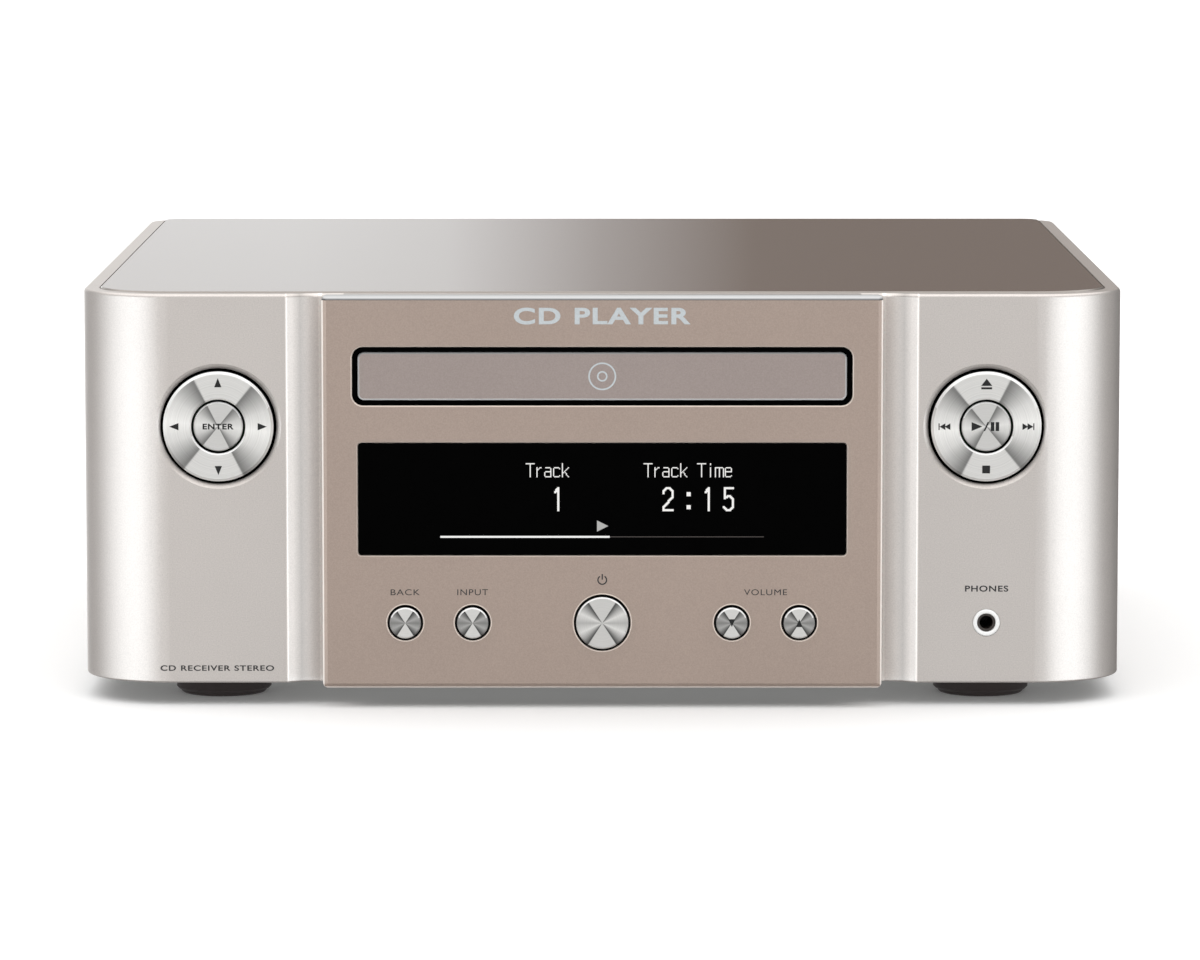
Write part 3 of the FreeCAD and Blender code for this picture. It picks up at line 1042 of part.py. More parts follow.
def optical_socket():
    """Optical output with its spring shutter closed."""
    body = box(OPTICAL_X - 5, OPTICAL_X + 5, REAR_FACE - 12, REAR_FACE + 0.6, OPTICAL_Z - 5,
               OPTICAL_Z + 5)
    mouth = face_slab(OPTICAL_X, OPTICAL_Z, 6.6, 6.6, 1.2, REAR_FACE - 1.4, REAR_FACE + 1)
    return carved(body, [mouth])


def rear_sockets():
    """Aerial, network, USB, optical and mains sockets."""
    return group([aerial_socket(), lan_socket(), usb_socket(), optical_socket(), mains_inlet()])


def mains_inlet():
    """Two-pin mains inlet: a moulding with a figure-eight recess, and its pins."""
    y1 = REAR_FACE + 1.5
    flange = face_slab(INLET_X, INLET_Z, 26, 20, 2.5, REAR_FACE + 0.05, y1)
    body = face_slab(INLET_X, INLET_Z, 22, 16, 1.8, REAR_FACE - 16, REAR_FACE + 0.05)
    places = [INLET_X + s * 4.3 for s in (-1, 1)]
    recess = [along_y(4.6, x, INLET_Z, REAR_FACE - 11, y1 + 1) for x in places]
    pins = [along_y(1.2, x, INLET_Z, REAR_FACE - 11, REAR_FACE - 2) for x in places]
    return group([carved(join([flange, body]), recess)] + pins)


# ---------------------------------------------------------------- assembly
def nodes():
    """Every piece by name."""
    pieces = {make.__name__: make() for make in (
        front_panel, top_plate, top_cover, bottom_chassis, rear_panel, feet, case_screws,
        centre_plate, tray_bezel, display_window, display_module, headphone_socket, key_boards,
        loader_frame, clamp_bridge, loading_motor, loading_belt, disc_tray, tray_door, drive_gear,
        idler_gear, motor_pulley, cam_slider, lift_frame, pickup_chassis, dampers, guide_rods,
        pickup_motors, turntable, clamper, sled, lens_holder, sled_gear, sled_pinion, power_board,
        amplifier_board, heat_sink, main_board, ribbon_cables, speaker_block, speaker_posts,
        phono_sockets, rear_sockets)}
    pieces["side_panel_right"] = side_panel()
    pieces["side_panel_left"] = mirrored(side_panel())
    for name, (x, r) in BUTTONS.items():
        pieces[name] = push_button(x, r)
    for name, x in (("menu", -PAD_X), ("transport", PAD_X)):
        pieces[name + "_ring"] = pad_ring(x)
        pieces[name + "_carrier"] = pad_carrier(x)
    pieces["enter_key"] = centre_key(-PAD_X)
    pieces["play_key"] = centre_key(PAD_X)
    for i, (x, z) in enumerate(speaker_places(), 1):
        pieces[f"speaker_cap_{i}"] = speaker_cap(x, z)
    return pieces


def main():
    os.makedirs("parts", exist_ok=True)
    for name, shape in nodes().items():
        if not shape.isValid():
            print("invalid shape:", name)
        shape.exportStep(f"parts/{name}.step")


main()
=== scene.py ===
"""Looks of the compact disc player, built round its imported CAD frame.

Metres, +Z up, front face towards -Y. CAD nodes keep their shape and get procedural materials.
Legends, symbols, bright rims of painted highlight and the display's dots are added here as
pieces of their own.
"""
import math

import bmesh
import bpy
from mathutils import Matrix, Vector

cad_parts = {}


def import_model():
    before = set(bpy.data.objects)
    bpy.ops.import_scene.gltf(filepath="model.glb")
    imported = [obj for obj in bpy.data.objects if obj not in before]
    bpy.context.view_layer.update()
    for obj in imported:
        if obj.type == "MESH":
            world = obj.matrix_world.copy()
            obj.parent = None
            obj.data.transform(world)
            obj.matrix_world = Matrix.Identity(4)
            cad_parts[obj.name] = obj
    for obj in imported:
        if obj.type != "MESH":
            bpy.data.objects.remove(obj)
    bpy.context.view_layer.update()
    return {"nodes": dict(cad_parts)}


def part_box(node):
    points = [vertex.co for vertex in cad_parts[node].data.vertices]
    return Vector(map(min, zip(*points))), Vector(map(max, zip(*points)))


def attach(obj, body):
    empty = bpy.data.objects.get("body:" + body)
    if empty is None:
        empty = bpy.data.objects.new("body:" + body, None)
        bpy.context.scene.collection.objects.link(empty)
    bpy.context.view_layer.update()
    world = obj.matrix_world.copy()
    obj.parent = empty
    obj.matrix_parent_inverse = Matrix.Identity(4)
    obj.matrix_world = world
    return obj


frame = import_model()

NODES = frame["nodes"]
MM = 0.001


# ---------------------------------------------------------------- places, read from the frame
def middle(node):
    low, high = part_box(node)
    return (low + high) / 2


def front_of(node):
    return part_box(node)[0].y


PLATE_LOW, PLATE_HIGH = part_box("centre_plate")
PLATE_Y = PLATE_LOW.y
FLAT_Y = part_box("front_panel")[0].y + 3 * MM     # the flats at either side stand back from the plinth
REAR_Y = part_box("rear_panel")[1].y


# ---------------------------------------------------------------- shader node helpers
class Nodes:
    """Short calls for adding nodes to one tree. A value may be a number, a colour or a link."""

    def __init__(self, tree):
        self.tree = tree

    def feed(self, node, socket, value):
        if isinstance(value, bpy.types.NodeSocket):
            self.tree.links.new(value, node.inputs[socket])
        else:
            node.inputs[socket].default_value = value

    def math(self, operation, a, b=0.0, c=0.0):
        node = self.tree.nodes.new("ShaderNodeMath")
        node.operation = operation
        for i, value in enumerate((a, b, c)):
            self.feed(node, i, value)
        return node.outputs[0]

    def vector_math(self, operation, a, b):
        node = self.tree.nodes.new("ShaderNodeVectorMath")
        node.operation = operation
        self.feed(node, 0, a)
        self.feed(node, 1, b)
        return node.outputs[0]

    def split(self, vector):
        """The three parts of a vector."""
        node = self.tree.nodes.new("ShaderNodeSeparateXYZ")
        self.feed(node, 0, vector)
        return node.outputs

    def distance(self, a, b):
        """Length of the flat vector with the parts a and b."""
        return self.math("SQRT", self.math("ADD", self.math("MULTIPLY", a, a), self.math("MULTIPLY", b, b)))

    def spread(self, value, low, high, from_low=0.0, from_high=1.0, smooth=False):
        """Maps a value from one range onto another, clamped. A smooth one eases in and out."""
        node = self.tree.nodes.new("ShaderNodeMapRange")
        if smooth:
            node.interpolation_type = "SMOOTHSTEP"
        for socket, number in (("From Min", from_low), ("From Max", from_high),
                               ("To Min", low), ("To Max", high)):
            node.inputs[socket].default_value = number
        self.feed(node, "Value", value)
        return node.outputs[0]

    def mix(self, factor, a, b):
        """Colour between a and b."""
        factor_in, a_in, b_in, colour_out = 0, 6, 7, 2     # the sockets that a colour mix uses
        node = self.tree.nodes.new("ShaderNodeMix")
        node.data_type = "RGBA"
        self.feed(node, factor_in, factor)
        self.feed(node, a_in, a if isinstance(a, bpy.types.NodeSocket) else (*a, 1))
        self.feed(node, b_in, b if isinstance(b, bpy.types.NodeSocket) else (*b, 1))
        return node.outputs[colour_out]

    def ramp(self, position, stops, interpolation="LINEAR"):
        """Colour along (place, colour) stops, with place from 0 to 1."""
        node = self.tree.nodes.new("ShaderNodeValToRGB")
        elements = node.color_ramp.elements
        node.color_ramp.interpolation = interpolation
        elements.remove(elements[-1])
        for i, (place, colour) in enumerate(stops):
            stop = elements[0] if i == 0 else elements.new(place)
            stop.position = place
            stop.color = (*colour, 1)
        self.tree.links.new(position, node.inputs["Fac"])
        return node.outputs["Color"]

    def grey_ramp(self, position, stops):
        """Grey along (place, brightness) stops, with place from 0 to 1."""
        return self.ramp(position, [(place, (level, level, level)) for place, level in stops])


class Shader(Nodes):
    """A Principled material."""

    def __init__(self, name, colour, roughness, metallic=0.0):
        self.material = bpy.data.materials.new(name)
        self.material.use_nodes = True
        super().__init__(self.material.node_tree)
        self.bsdf = self.tree.nodes["Principled BSDF"]
        self.material.diffuse_color = (*colour, 1)
        self.set("Base Color", (*colour, 1))
        self.set("Roughness", roughness)
        self.set("Metallic", metallic)
        self.position = self.tree.nodes.new("ShaderNodeTexCoord").outputs["Object"]

    def set(self, socket, value):
        """Gives one input of the BSDF a value or a link."""
        self.feed(self.bsdf, socket, value)

    def painted(self):
        """The link that gives the base colour so far."""
        return self.bsdf.inputs["Base Color"].links[0].from_socket

    def place(self):
        """The three parts of the position."""
        return self.split(self.position)

    def facing(self):
        """The three parts of the direction the surface faces."""
        return self.split(self.tree.nodes.new("ShaderNodeNewGeometry").outputs["True Normal"])

    def turned_away(self, axis, most):
        """1 where the surface is turned away from an axis, as on a bevel or a side wall."""
        return self.math("LESS_THAN", self.math("ABSOLUTE", self.facing()[axis]), most)

    def stretched(self, scale):
        """The position, scaled differently along each axis."""
        node = self.tree.nodes.new("ShaderNodeMapping")
        self.tree.links.new(self.position, node.inputs["Vector"])
        node.inputs["Scale"].default_value = scale
        return node.outputs[0]

    def noise(self, size, detail=2.0, vector=None):
        """Noise in 0..1 with features about `size` across."""
        node = self.tree.nodes.new("ShaderNodeTexNoise")
        self.tree.links.new(vector or self.position, node.inputs["Vector"])
        node.inputs["Scale"].default_value = 1 / size
        node.inputs["Detail"].default_value = detail
        return node.outputs["Fac"]

    def shade(self, colour, factor):
        """A colour made brighter or darker by a factor."""
        node = self.tree.nodes.new("ShaderNodeVectorMath")
        node.operation = "SCALE"
        self.tree.links.new(colour, node.inputs[0])
        self.feed(node, "Scale", factor)
        return node.outputs[0]

    def tint(self, factor, colour, amount):
        """A colour, darker to lighter by the given share as the factor goes from 0 to 1."""
        dark = tuple(c * (1 - amount) for c in colour)
        light = tuple(min(1.0, c * (1 + amount)) for c in colour)
        return self.mix(factor, dark, light)

    def bump(self, height, depth, strength=1.0):
        node = self.tree.nodes.new("ShaderNodeBump")
        node.inputs["Strength"].default_value = strength
        node.inputs["Distance"].default_value = depth
        self.tree.links.new(height, node.inputs["Height"])
        self.set("Normal", node.outputs[0])


def srgb(r, g, b):
    """Linear colour from display values in 0..255."""
    def one(v):
        v /= 255
        return v / 12.92 if v <= 0.04045 else ((v + 0.055) / 1.055) ** 2.4
    return one(r), one(g), one(b)


# ---------------------------------------------------------------- materials
BEVEL, WALL = 0.95, 0.2                        # most of the normal along the axis, on bevels and walls
TOP_BEVEL, COVE_WIDE = 1.35 * MM, 10.0 * MM    # the plate's top bevel, and the coves beside the plate
BLACK = (0.001, 0.001, 0.001)
SILVER = srgb(210, 203, 198)
CHAMPAGNE, DOOR = srgb(169, 151, 140), srgb(158, 145, 140)
CUT_HIGHLIGHT, EDGE_HIGHLIGHT = srgb(222, 208, 196), srgb(238, 228, 220)     # painted highlights: round openings, round the plate
STEEL_TINT = (1.015, 1.0, 0.97)
HIGHLIGHT_FACING_UP, RECESSED = 0.25, 1.0 * MM              # least of the normal upwards for a painted highlight, least distance behind a front for painted shade


def lacquer(name, colour, roughness, metallic, flake=0.05, coat=0.15):
    """Metallic lacquer: fine flake, a slow drift in tone and a slightly uneven gloss."""
    s = Shader(name, colour, roughness, metallic)
    fleck = s.noise(0.34 * MM, 1.0)
    drift = s.noise(40 * MM, 3.0)
    both = s.math("ADD", s.math("MULTIPLY", fleck, 0.75), s.math("MULTIPLY", drift, 0.25))
    s.set("Base Color", s.tint(s.spread(both, 0, 1, 0.3, 0.7), colour, flake))
    s.set("Roughness", s.spread(s.noise(0.6 * MM), roughness * 0.9, roughness * 1.1))
    s.set("Coat Weight", coat)
    s.set("Coat Roughness", 0.25)
    s.bump(fleck, 0.004 * MM, 0.25)
    return s


def silver_lacquer(name):
    """Silver of the case. In the coves beside the plate it carries painted shading, lighter and darker
    across each cove, with a light line of painted highlight at their edge.
    """
    s = lacquer(name, SILVER, roughness=0.34, metallic=0.75, flake=0.08)
    x = s.place()[0]
    across = s.spread(s.math("ABSOLUTE", x), 0, 1, PLATE_HIGH.x, PLATE_HIGH.x + COVE_WIDE)
    # painted shading across each cove: light by the plate, a darker band, a highlight line at the outer edge
    painted_shading = s.grey_ramp(across, [(0, 1), (0.03, 1.6), (0.09, 1.6), (0.13, 1.2), (0.4, 1), (0.6, 0.72),
                                (0.8, 1), (0.93, 1), (0.96, 1.35), (0.985, 1.35), (1, 1)])
    s.set("Base Color", s.shade(s.painted(), painted_shading))
    return s.material


def champagne_plate(name):
    """Lacquered plate with a top bevel of painted highlight and shade, painted light lines round its
    outline and round its openings, and black painted shade on the walls inside the openings."""
    s = lacquer(name, CHAMPAGNE, roughness=0.36, metallic=0.45, flake=0.08, coat=0.3)
    bevel = s.turned_away(1, BEVEL)
    x, _, z = s.place()
    x = s.math("ABSOLUTE", x)
    margin, line = 4 * MM, 0.4 * MM
    rim_x = s.math("GREATER_THAN", x, PLATE_HIGH.x - line)
    rim_z = s.math("LESS_THAN", z, PLATE_LOW.z + line)
    rim = s.math("MAXIMUM", rim_x, rim_z)
    # painted light on the side and bottom bevels: brightened, with a highlight line at the outer edge
    painted_outline_light = s.mix(rim, s.shade(s.painted(), 1.1), EDGE_HIGHLIGHT)
    # painted highlight and shade across the top bevel: a dark line at its foot, lighter bands above
    up = s.spread(z, 0, 1, PLATE_HIGH.z - TOP_BEVEL, PLATE_HIGH.z)
    painted_bevel_light = s.grey_ramp(up, [(0, 0.05), (0.14, 0.05), (0.30, 0.36), (0.50, 0.42), (0.60, 0.70),
                              (0.70, 0.48), (1, 0.40)])
    painted_outline_light = s.mix(s.math("GREATER_THAN", z, PLATE_HIGH.z - TOP_BEVEL), painted_outline_light, painted_bevel_light)
    finish_with_painted_light = s.mix(bevel, s.painted(), painted_outline_light)
    inside = s.math("LESS_THAN", x, PLATE_HIGH.x - margin)
    inside = s.math("MULTIPLY", inside, s.math("GREATER_THAN", z, PLATE_LOW.z + margin))
    inside = s.math("MULTIPLY", inside, s.math("LESS_THAN", z, PLATE_HIGH.z - margin))
    # painted highlight on the openings' bevels and painted black shade on their walls
    painted_opening = s.mix(s.turned_away(1, WALL), CUT_HIGHLIGHT, BLACK)
    s.set("Base Color", s.mix(s.math("MULTIPLY", inside, bevel), finish_with_painted_light, painted_opening))
    return s.material


def door_with_painted_bevel_light(name):
    """Lacquered tray front with painted light: its bevel has a painted highlight below and at the sides
    and painted shade along the top.
    """
    s = lacquer(name, DOOR, roughness=0.36, metallic=0.45, flake=0.08, coat=0.3)
    # painted light and shade on the bevel, by the way it faces
    bevel = s.grey_ramp(s.spread(s.facing()[2], 0, 1, -0.6, 0.6), [(0, 0.92), (0.5, 0.62), (1, 0.28)])
    s.set("Base Color", s.mix(s.turned_away(1, BEVEL), s.painted(), bevel))
    return s.material


def polished_plate(name, colour, bevel_highlight):
    """Hard glossy coat over a dark metallic base, with faint smudges in the gloss and bevels lightened
    as a painted highlight.
    """
    s = Shader(name, colour, roughness=0.3, metallic=0.35)
    face = s.tint(s.noise(0.3 * MM, 1.0), colour, 0.04)
    # the bevels take a lighter colour: a painted highlight
    s.set("Base Color", s.mix(s.turned_away(2, BEVEL), face, bevel_highlight))
    s.set("Coat Weight", 1.0)
    s.set("Coat Roughness", s.spread(s.noise(25 * MM, 4.0), 0.03, 0.09))
    return s.material


# Painted light on turned faces: degrees from a side to the edge of a wedge and to a shoulder, and half
# the width of an edge.
WEDGE_EDGE, SHOULDER, EDGE = 57, 24, 1


def painted_fan(wedge, dark, shoulder, side):
    """Painted reflection: brightness round a turned face, by angle in degrees, with 0 to the right and
    90 up: light wedges above and below, and side sectors that darken towards them."""
    sector = ((-WEDGE_EDGE - EDGE, wedge), (-WEDGE_EDGE + EDGE, dark), (-SHOULDER, shoulder), (0, side),
              (SHOULDER, shoulder), (WEDGE_EDGE - EDGE, dark), (WEDGE_EDGE + EDGE, wedge))
    return [(middle + offset, level) for middle in (0, 180, 360) for offset, level in sector
            if 0 <= middle + offset <= 360]


WIDE_FAN = painted_fan(wedge=0.77, dark=0.20, shoulder=0.78, side=1.0)
DARK_FAN = painted_fan(wedge=0.84, dark=0.03, shoulder=0.50, side=0.28)
EVEN_FAN = painted_fan(wedge=0.66, dark=0.04, shoulder=0.80, side=0.50)


def spun_metal(name, front, painted_wedges, brightness, lean, mirror):
    """Metal face turned on a lathe: fine rings, and painted light that fans out from the centre.

    Rings and wedges are centred on the piece's own box, seen from the front. The painted wedges lean by
    some degrees anticlockwise. Bevels that face upwards get a painted highlight. Side walls are painted
    black as shade, and so is whatever lies well behind the front, such as the flange that is seen in
    the gap round a key.
    """
    s = Shader(name, (0.6, 0.6, 0.59), roughness=0.3, metallic=0.35)
    generated = s.tree.nodes.new("ShaderNodeTexCoord").outputs["Generated"]
    x, _, z = s.split(generated)
    dx, dz = s.math("SUBTRACT", x, 0.5), s.math("SUBTRACT", z, 0.5)
    if mirror:
        dx = s.math("MULTIPLY", dx, -1.0)
    radius = s.distance(dx, dz)
    angle = s.math("SUBTRACT", s.math("ARCTAN2", dz, dx), math.radians(lean))
    turn = s.math("FRACT", s.math("DIVIDE", angle, 2 * math.pi))
    rings = s.tree.nodes.new("ShaderNodeTexNoise")
    rings.noise_dimensions = "1D"
    rings.inputs["Scale"].default_value = 90
    rings.inputs["Detail"].default_value = 3
    s.tree.links.new(radius, rings.inputs["W"])
    # painted reflection: light and dark wedges by angle, with real turning rings laid over it
    painted_shading = s.grey_ramp(turn, [(angle / 360, level * brightness) for angle, level in painted_wedges])
    painted_shading = s.shade(painted_shading, s.spread(rings.outputs["Fac"], 0.93, 1.05, 0.3, 0.7))
    # painted highlight on bevels that face up
    highlight_mask = s.math("MULTIPLY", s.turned_away(1, BEVEL), s.math("GREATER_THAN", s.facing()[2], HIGHLIGHT_FACING_UP))
    finish_with_painted_light = s.mix(highlight_mask, s.vector_math("MULTIPLY", painted_shading, STEEL_TINT), (0.86, 0.86, 0.85))
    # painted black shade on side walls and on whatever lies well behind the front
    painted_shade_behind = s.math("GREATER_THAN", s.place()[1], front + RECESSED)
    s.set("Base Color", s.mix(s.math("MAXIMUM", s.turned_away(1, WALL), painted_shade_behind), finish_with_painted_light, BLACK))
    s.bump(rings.outputs["Fac"], 0.01 * MM, 0.35)
    return s.material


def moulded(name, colour, roughness=0.5, grain=0.35):
    """Moulded plastic with a fine spark-eroded grain, whose size is in mm."""
    s = Shader(name, colour, roughness)
    grain_noise = s.noise(grain * MM, 3.0)
    s.set("Base Color", s.tint(s.noise(12 * MM), colour, 0.10))
    s.set("Roughness", s.spread(grain_noise, roughness * 0.85, roughness * 1.15))
    s.bump(grain_noise, 0.03 * MM, 0.3)
    return s.material


def sheet_steel(name, colour, roughness=0.38):
    """Rolled, zinc-coated sheet with a grain along Y and cloudy spangles."""
    s = Shader(name, colour, roughness, metallic=0.9)
    grain = s.noise(1.0, 4.0, s.stretched((2500, 60, 2500)))
    spangle = s.noise(14 * MM, 2.0)
    s.set("Base Color", s.tint(s.math("MULTIPLY_ADD", grain, 0.5, s.math("MULTIPLY", spangle, 0.5)),
                               colour, 0.12))
    s.set("Roughness", s.spread(spangle, roughness * 0.8, roughness * 1.2))
    s.bump(grain, 0.01 * MM, 0.2)
    return s.material


def textured_paint(name, colour):
    """Powder paint with a fine pebbled surface."""
    s = Shader(name, colour, roughness=0.55, metallic=0.1)
    pebble = s.noise(0.7 * MM, 2.0)
    s.set("Base Color", s.tint(pebble, colour, 0.15))
    s.bump(pebble, 0.06 * MM, 0.5)
    return s.material


def smoked_acrylic(name):
    """Near-black window with faint smudges, coated against reflections."""
    s = Shader(name, BLACK, roughness=0.10)
    s.set("Base Color", s.tint(s.noise(6 * MM), BLACK, 0.2))
    s.set("Roughness", s.spread(s.noise(18 * MM, 4.0), 0.06, 0.16))
    s.set("Specular IOR Level", 0.005)
    return s.material


def matt_black(name):
    """Dead-black moulding, hardly shining at all."""
    s = Shader(name, BLACK, roughness=0.5)
    s.set("Base Color", s.tint(s.noise(0.4 * MM, 3.0), BLACK, 0.4))
    s.set("Specular IOR Level", 0.0)
    return s.material


def soft_rubber(name, colour):
    s = Shader(name, colour, roughness=0.75)
    dust = s.noise(0.5 * MM, 4.0)
    s.set("Base Color", s.tint(dust, colour, 0.25))
    s.set("Sheen Weight", 0.15)
    s.bump(dust, 0.04 * MM, 0.4)
    return s.material


def plated(name, colour, roughness=0.18):
    """Bright plating with fine turning marks."""
    s = Shader(name, colour, roughness, metallic=1.0)
    marks = s.noise(1.0, 2.0, s.stretched((300, 9000, 300)))
    s.set("Roughness", s.spread(marks, roughness * 0.8, roughness * 1.4))
    s.set("Base Color", s.tint(marks, colour, 0.05))
    return s.material


def acetal(name):
    """Natural gear plastic, slightly translucent."""
    colour = (0.78, 0.77, 0.71)
    s = Shader(name, colour, roughness=0.35)
    s.set("Base Color", s.tint(s.noise(3 * MM), colour, 0.04))
    s.set("Subsurface Weight", 0.15)
    s.set("Subsurface Radius", (0.002, 0.002, 0.002))
    return s.material


def laminate(name):
    """Circuit board: green mask with brighter tracks in a brick pattern, and a faint waviness."""
    mask, copper = (0.012, 0.075, 0.022), (0.03, 0.16, 0.05)
    s = Shader(name, mask, roughness=0.35)
    maze = s.tree.nodes.new("ShaderNodeTexBrick")
    s.tree.links.new(s.position, maze.inputs["Vector"])
    maze.inputs["Scale"].default_value = 160
    maze.inputs["Mortar Size"].default_value = 0.06
    maze.inputs["Color1"].default_value = (*mask, 1)
    maze.inputs["Color2"].default_value = (*tuple(c * 0.8 for c in mask), 1)
    maze.inputs["Mortar"].default_value = (*copper, 1)
    s.set("Base Color", maze.outputs["Color"])
    s.bump(s.noise(2 * MM), 0.02 * MM, 0.3)
    return s.material


def ink_and_painted_highlight(name, colour):
    """Screen-printed ink, very slightly uneven. The same flat material also makes painted highlights."""
    s = Shader(name, colour, roughness=0.55)
    s.set("Base Color", s.tint(s.noise(0.4 * MM, 2.0), colour, 0.12))
    return s.material


def lit_dots(name, colour):
    """Display dots that glow, each a little different."""
    s = Shader(name, (0.02, 0.02, 0.02), roughness=0.3)
    s.set("Emission Color", s.tint(s.noise(0.6 * MM, 1.0), colour, 0.06))
    s.set("Emission Strength", 1.0)
    return s.material


def collared_socket(name, centre, inner, outer_colour, inner_colour):
    """Black socket whose collar, beyond the inner radius, is bright metal."""
    s = Shader(name, inner_colour, roughness=0.4)
    x, _, z = s.place()
    dx, dz = s.math("SUBTRACT", x, centre.x), s.math("SUBTRACT", z, centre.z)
    radius = s.distance(dx, dz)
    collar = s.math("GREATER_THAN", radius, inner)
    marks = s.noise(0.3 * MM, 3.0)
    s.set("Base Color", s.mix(collar, s.tint(marks, inner_colour, 0.2),
                              s.tint(marks, outer_colour, 0.04)))
    s.set("Metallic", s.math("MULTIPLY", collar, 0.3))
    s.set("Roughness", s.spread(collar, 0.45, 0.3))
    return s.material


def phono_material(name, centre, pitch, shell_from):
    """Plated shells, white cores on one column and red on the other, in a black moulding."""
    black, gold, white, red = (0.02, 0.02, 0.02), (0.75, 0.58, 0.28), (0.75, 0.75, 0.73), (0.45, 0.02, 0.02)
    core_radius = 3.32 * MM
    s = Shader(name, black, roughness=0.4)
    x, y, z = s.place()
    dx, dz = s.math("SUBTRACT", x, centre.x), s.math("SUBTRACT", z, centre.z)
    ox = s.math("SUBTRACT", s.math("ABSOLUTE", dx), pitch / 2)
    oz = s.math("SUBTRACT", s.math("ABSOLUTE", dz), pitch / 2)
    radius = s.distance(ox, oz)
    outside = s.math("GREATER_THAN", y, shell_from)
    shell = s.math("MULTIPLY", outside, s.math("GREATER_THAN", radius, core_radius))
    core = s.math("MULTIPLY", outside, s.math("LESS_THAN", radius, core_radius))
    cores = s.mix(s.math("GREATER_THAN", dx, 0.0), red, white)
    grain = s.noise(0.3 * MM, 3.0)
    s.set("Base Color", s.mix(shell, s.mix(core, s.tint(grain, black, 0.2), cores), gold))
    s.set("Metallic", shell)
    s.set("Roughness", s.spread(grain, 0.25, 0.45))
    return s.material


def rear_socket_material(name, metal_from):
    """Metal for the aerial and the two data sockets, which stand high, and black for the rest."""
    black, metal = (0.02, 0.02, 0.02), (0.62, 0.60, 0.56)
    s = Shader(name, black, roughness=0.4)
    high = s.math("GREATER_THAN", s.place()[2], metal_from)
    grain = s.noise(0.4 * MM, 3.0)
    s.set("Base Color", s.mix(high, s.tint(grain, black, 0.2), s.tint(grain, metal, 0.08)))
    s.set("Metallic", high)
    s.set("Roughness", s.spread(grain, 0.25, 0.45))
    return s.material


def paint(nodes, material):
    """Gives CAD nodes a material in every slot."""
    for node in nodes.split():
        mesh = NODES[node].data
        if not mesh.materials:
            mesh.materials.append(material)
        for i in range(len(NODES[node].material_slots)):
            NODES[node].material_slots[i].material = material


def finish_controls():
    """Turned faces with painted light. The painted light falls the other way round on the right-hand ones.
    """
    for nodes, name, painted_wedges, brightness, lean, mirror in (
            ("menu_ring", "spun_ring_left", WIDE_FAN, 0.84, -6, False),
            ("transport_ring", "spun_ring_right", WIDE_FAN, 0.84, -6, True),
            ("enter_key", "spun_key_left", WIDE_FAN, 0.74, -6, False),
            ("play_key", "spun_key_right", WIDE_FAN, 0.74, -6, True),
            ("power_button", "spun_power", EVEN_FAN, 0.88, 0, False),
            ("back_button input_button", "spun_small_left", DARK_FAN, 0.76, 0, False),
            ("volume_down_button volume_up_button", "spun_small_right", DARK_FAN, 0.76, 0, True)):
        front = front_of(nodes.split()[0])
        paint(nodes, spun_metal(name, front, painted_wedges, brightness, lean, mirror))


def finish_cad_nodes():
    paint("front_panel side_panel_left side_panel_right", silver_lacquer("silver_lacquer"))
    paint("centre_plate", champagne_plate("champagne_plate"))
    paint("tray_door", door_with_painted_bevel_light("champagne_door"))
    paint("top_plate", polished_plate("polished_top", srgb(118, 98, 90), srgb(148, 140, 133)))
    finish_controls()
    paint("display_window", smoked_acrylic("smoked_window"))
    paint("tray_bezel menu_carrier transport_carrier", matt_black("matt_black"))
    paint("feet", soft_rubber("foot_rubber", srgb(52, 42, 40)))
    paint("top_cover bottom_chassis clamp_bridge pickup_chassis",
          sheet_steel("zinc_sheet", (0.52, 0.52, 0.50)))
    paint("rear_panel", textured_paint("rear_paint", (0.018, 0.018, 0.019)))
    paint("case_screws", plated("black_screws", (0.06, 0.06, 0.06), roughness=0.35))
    paint("loader_frame lift_frame turntable clamper sled lens_holder",
          moulded("loader_moulding", (0.03, 0.03, 0.033), roughness=0.45))
    paint("disc_tray", moulded("tray_moulding", (0.016, 0.016, 0.017), roughness=0.5, grain=0.5))
    paint("drive_gear idler_gear motor_pulley cam_slider sled_gear sled_pinion", acetal("acetal"))
    paint("loading_belt dampers", soft_rubber("black_rubber", (0.015, 0.015, 0.015)))
    paint("loading_motor pickup_motors", sheet_steel("motor_can", (0.62, 0.61, 0.58), roughness=0.28))
    paint("guide_rods", plated("ground_rod", (0.75, 0.75, 0.74), roughness=0.12))
    paint("key_boards power_board amplifier_board main_board", laminate("circuit_laminate"))
    paint("display_module", smoked_acrylic("display_glass"))
    paint("heat_sink", plated("black_anodised", (0.03, 0.03, 0.032), roughness=0.45))
    paint("ribbon_cables", moulded("cable_film", (0.6, 0.6, 0.58), roughness=0.4))
    paint("speaker_block", moulded("terminal_moulding", (0.015, 0.015, 0.015), roughness=0.45))
    paint("speaker_posts", plated("gold_posts", (0.80, 0.62, 0.30)))
    paint("speaker_cap_1 speaker_cap_3", moulded("black_cap", (0.012, 0.012, 0.012), roughness=0.25))
    paint("speaker_cap_2 speaker_cap_4", moulded("red_cap", (0.32, 0.012, 0.012), roughness=0.25))
    collar_bore = 2.47 * MM
    paint("headphone_socket", collared_socket("collared_socket", middle("headphone_socket"), collar_bore,
                                              (0.93, 0.93, 0.92), (0.045, 0.035, 0.030)))
    phono_pitch, phono_shell, data_sockets = 14 * MM, REAR_Y + 0.84 * MM, 50 * MM
    paint("phono_sockets", phono_material("phono_mouldings", middle("phono_sockets"), phono_pitch,
                                          phono_shell))
    paint("rear_sockets", rear_socket_material("rear_socket_finish", data_sockets))
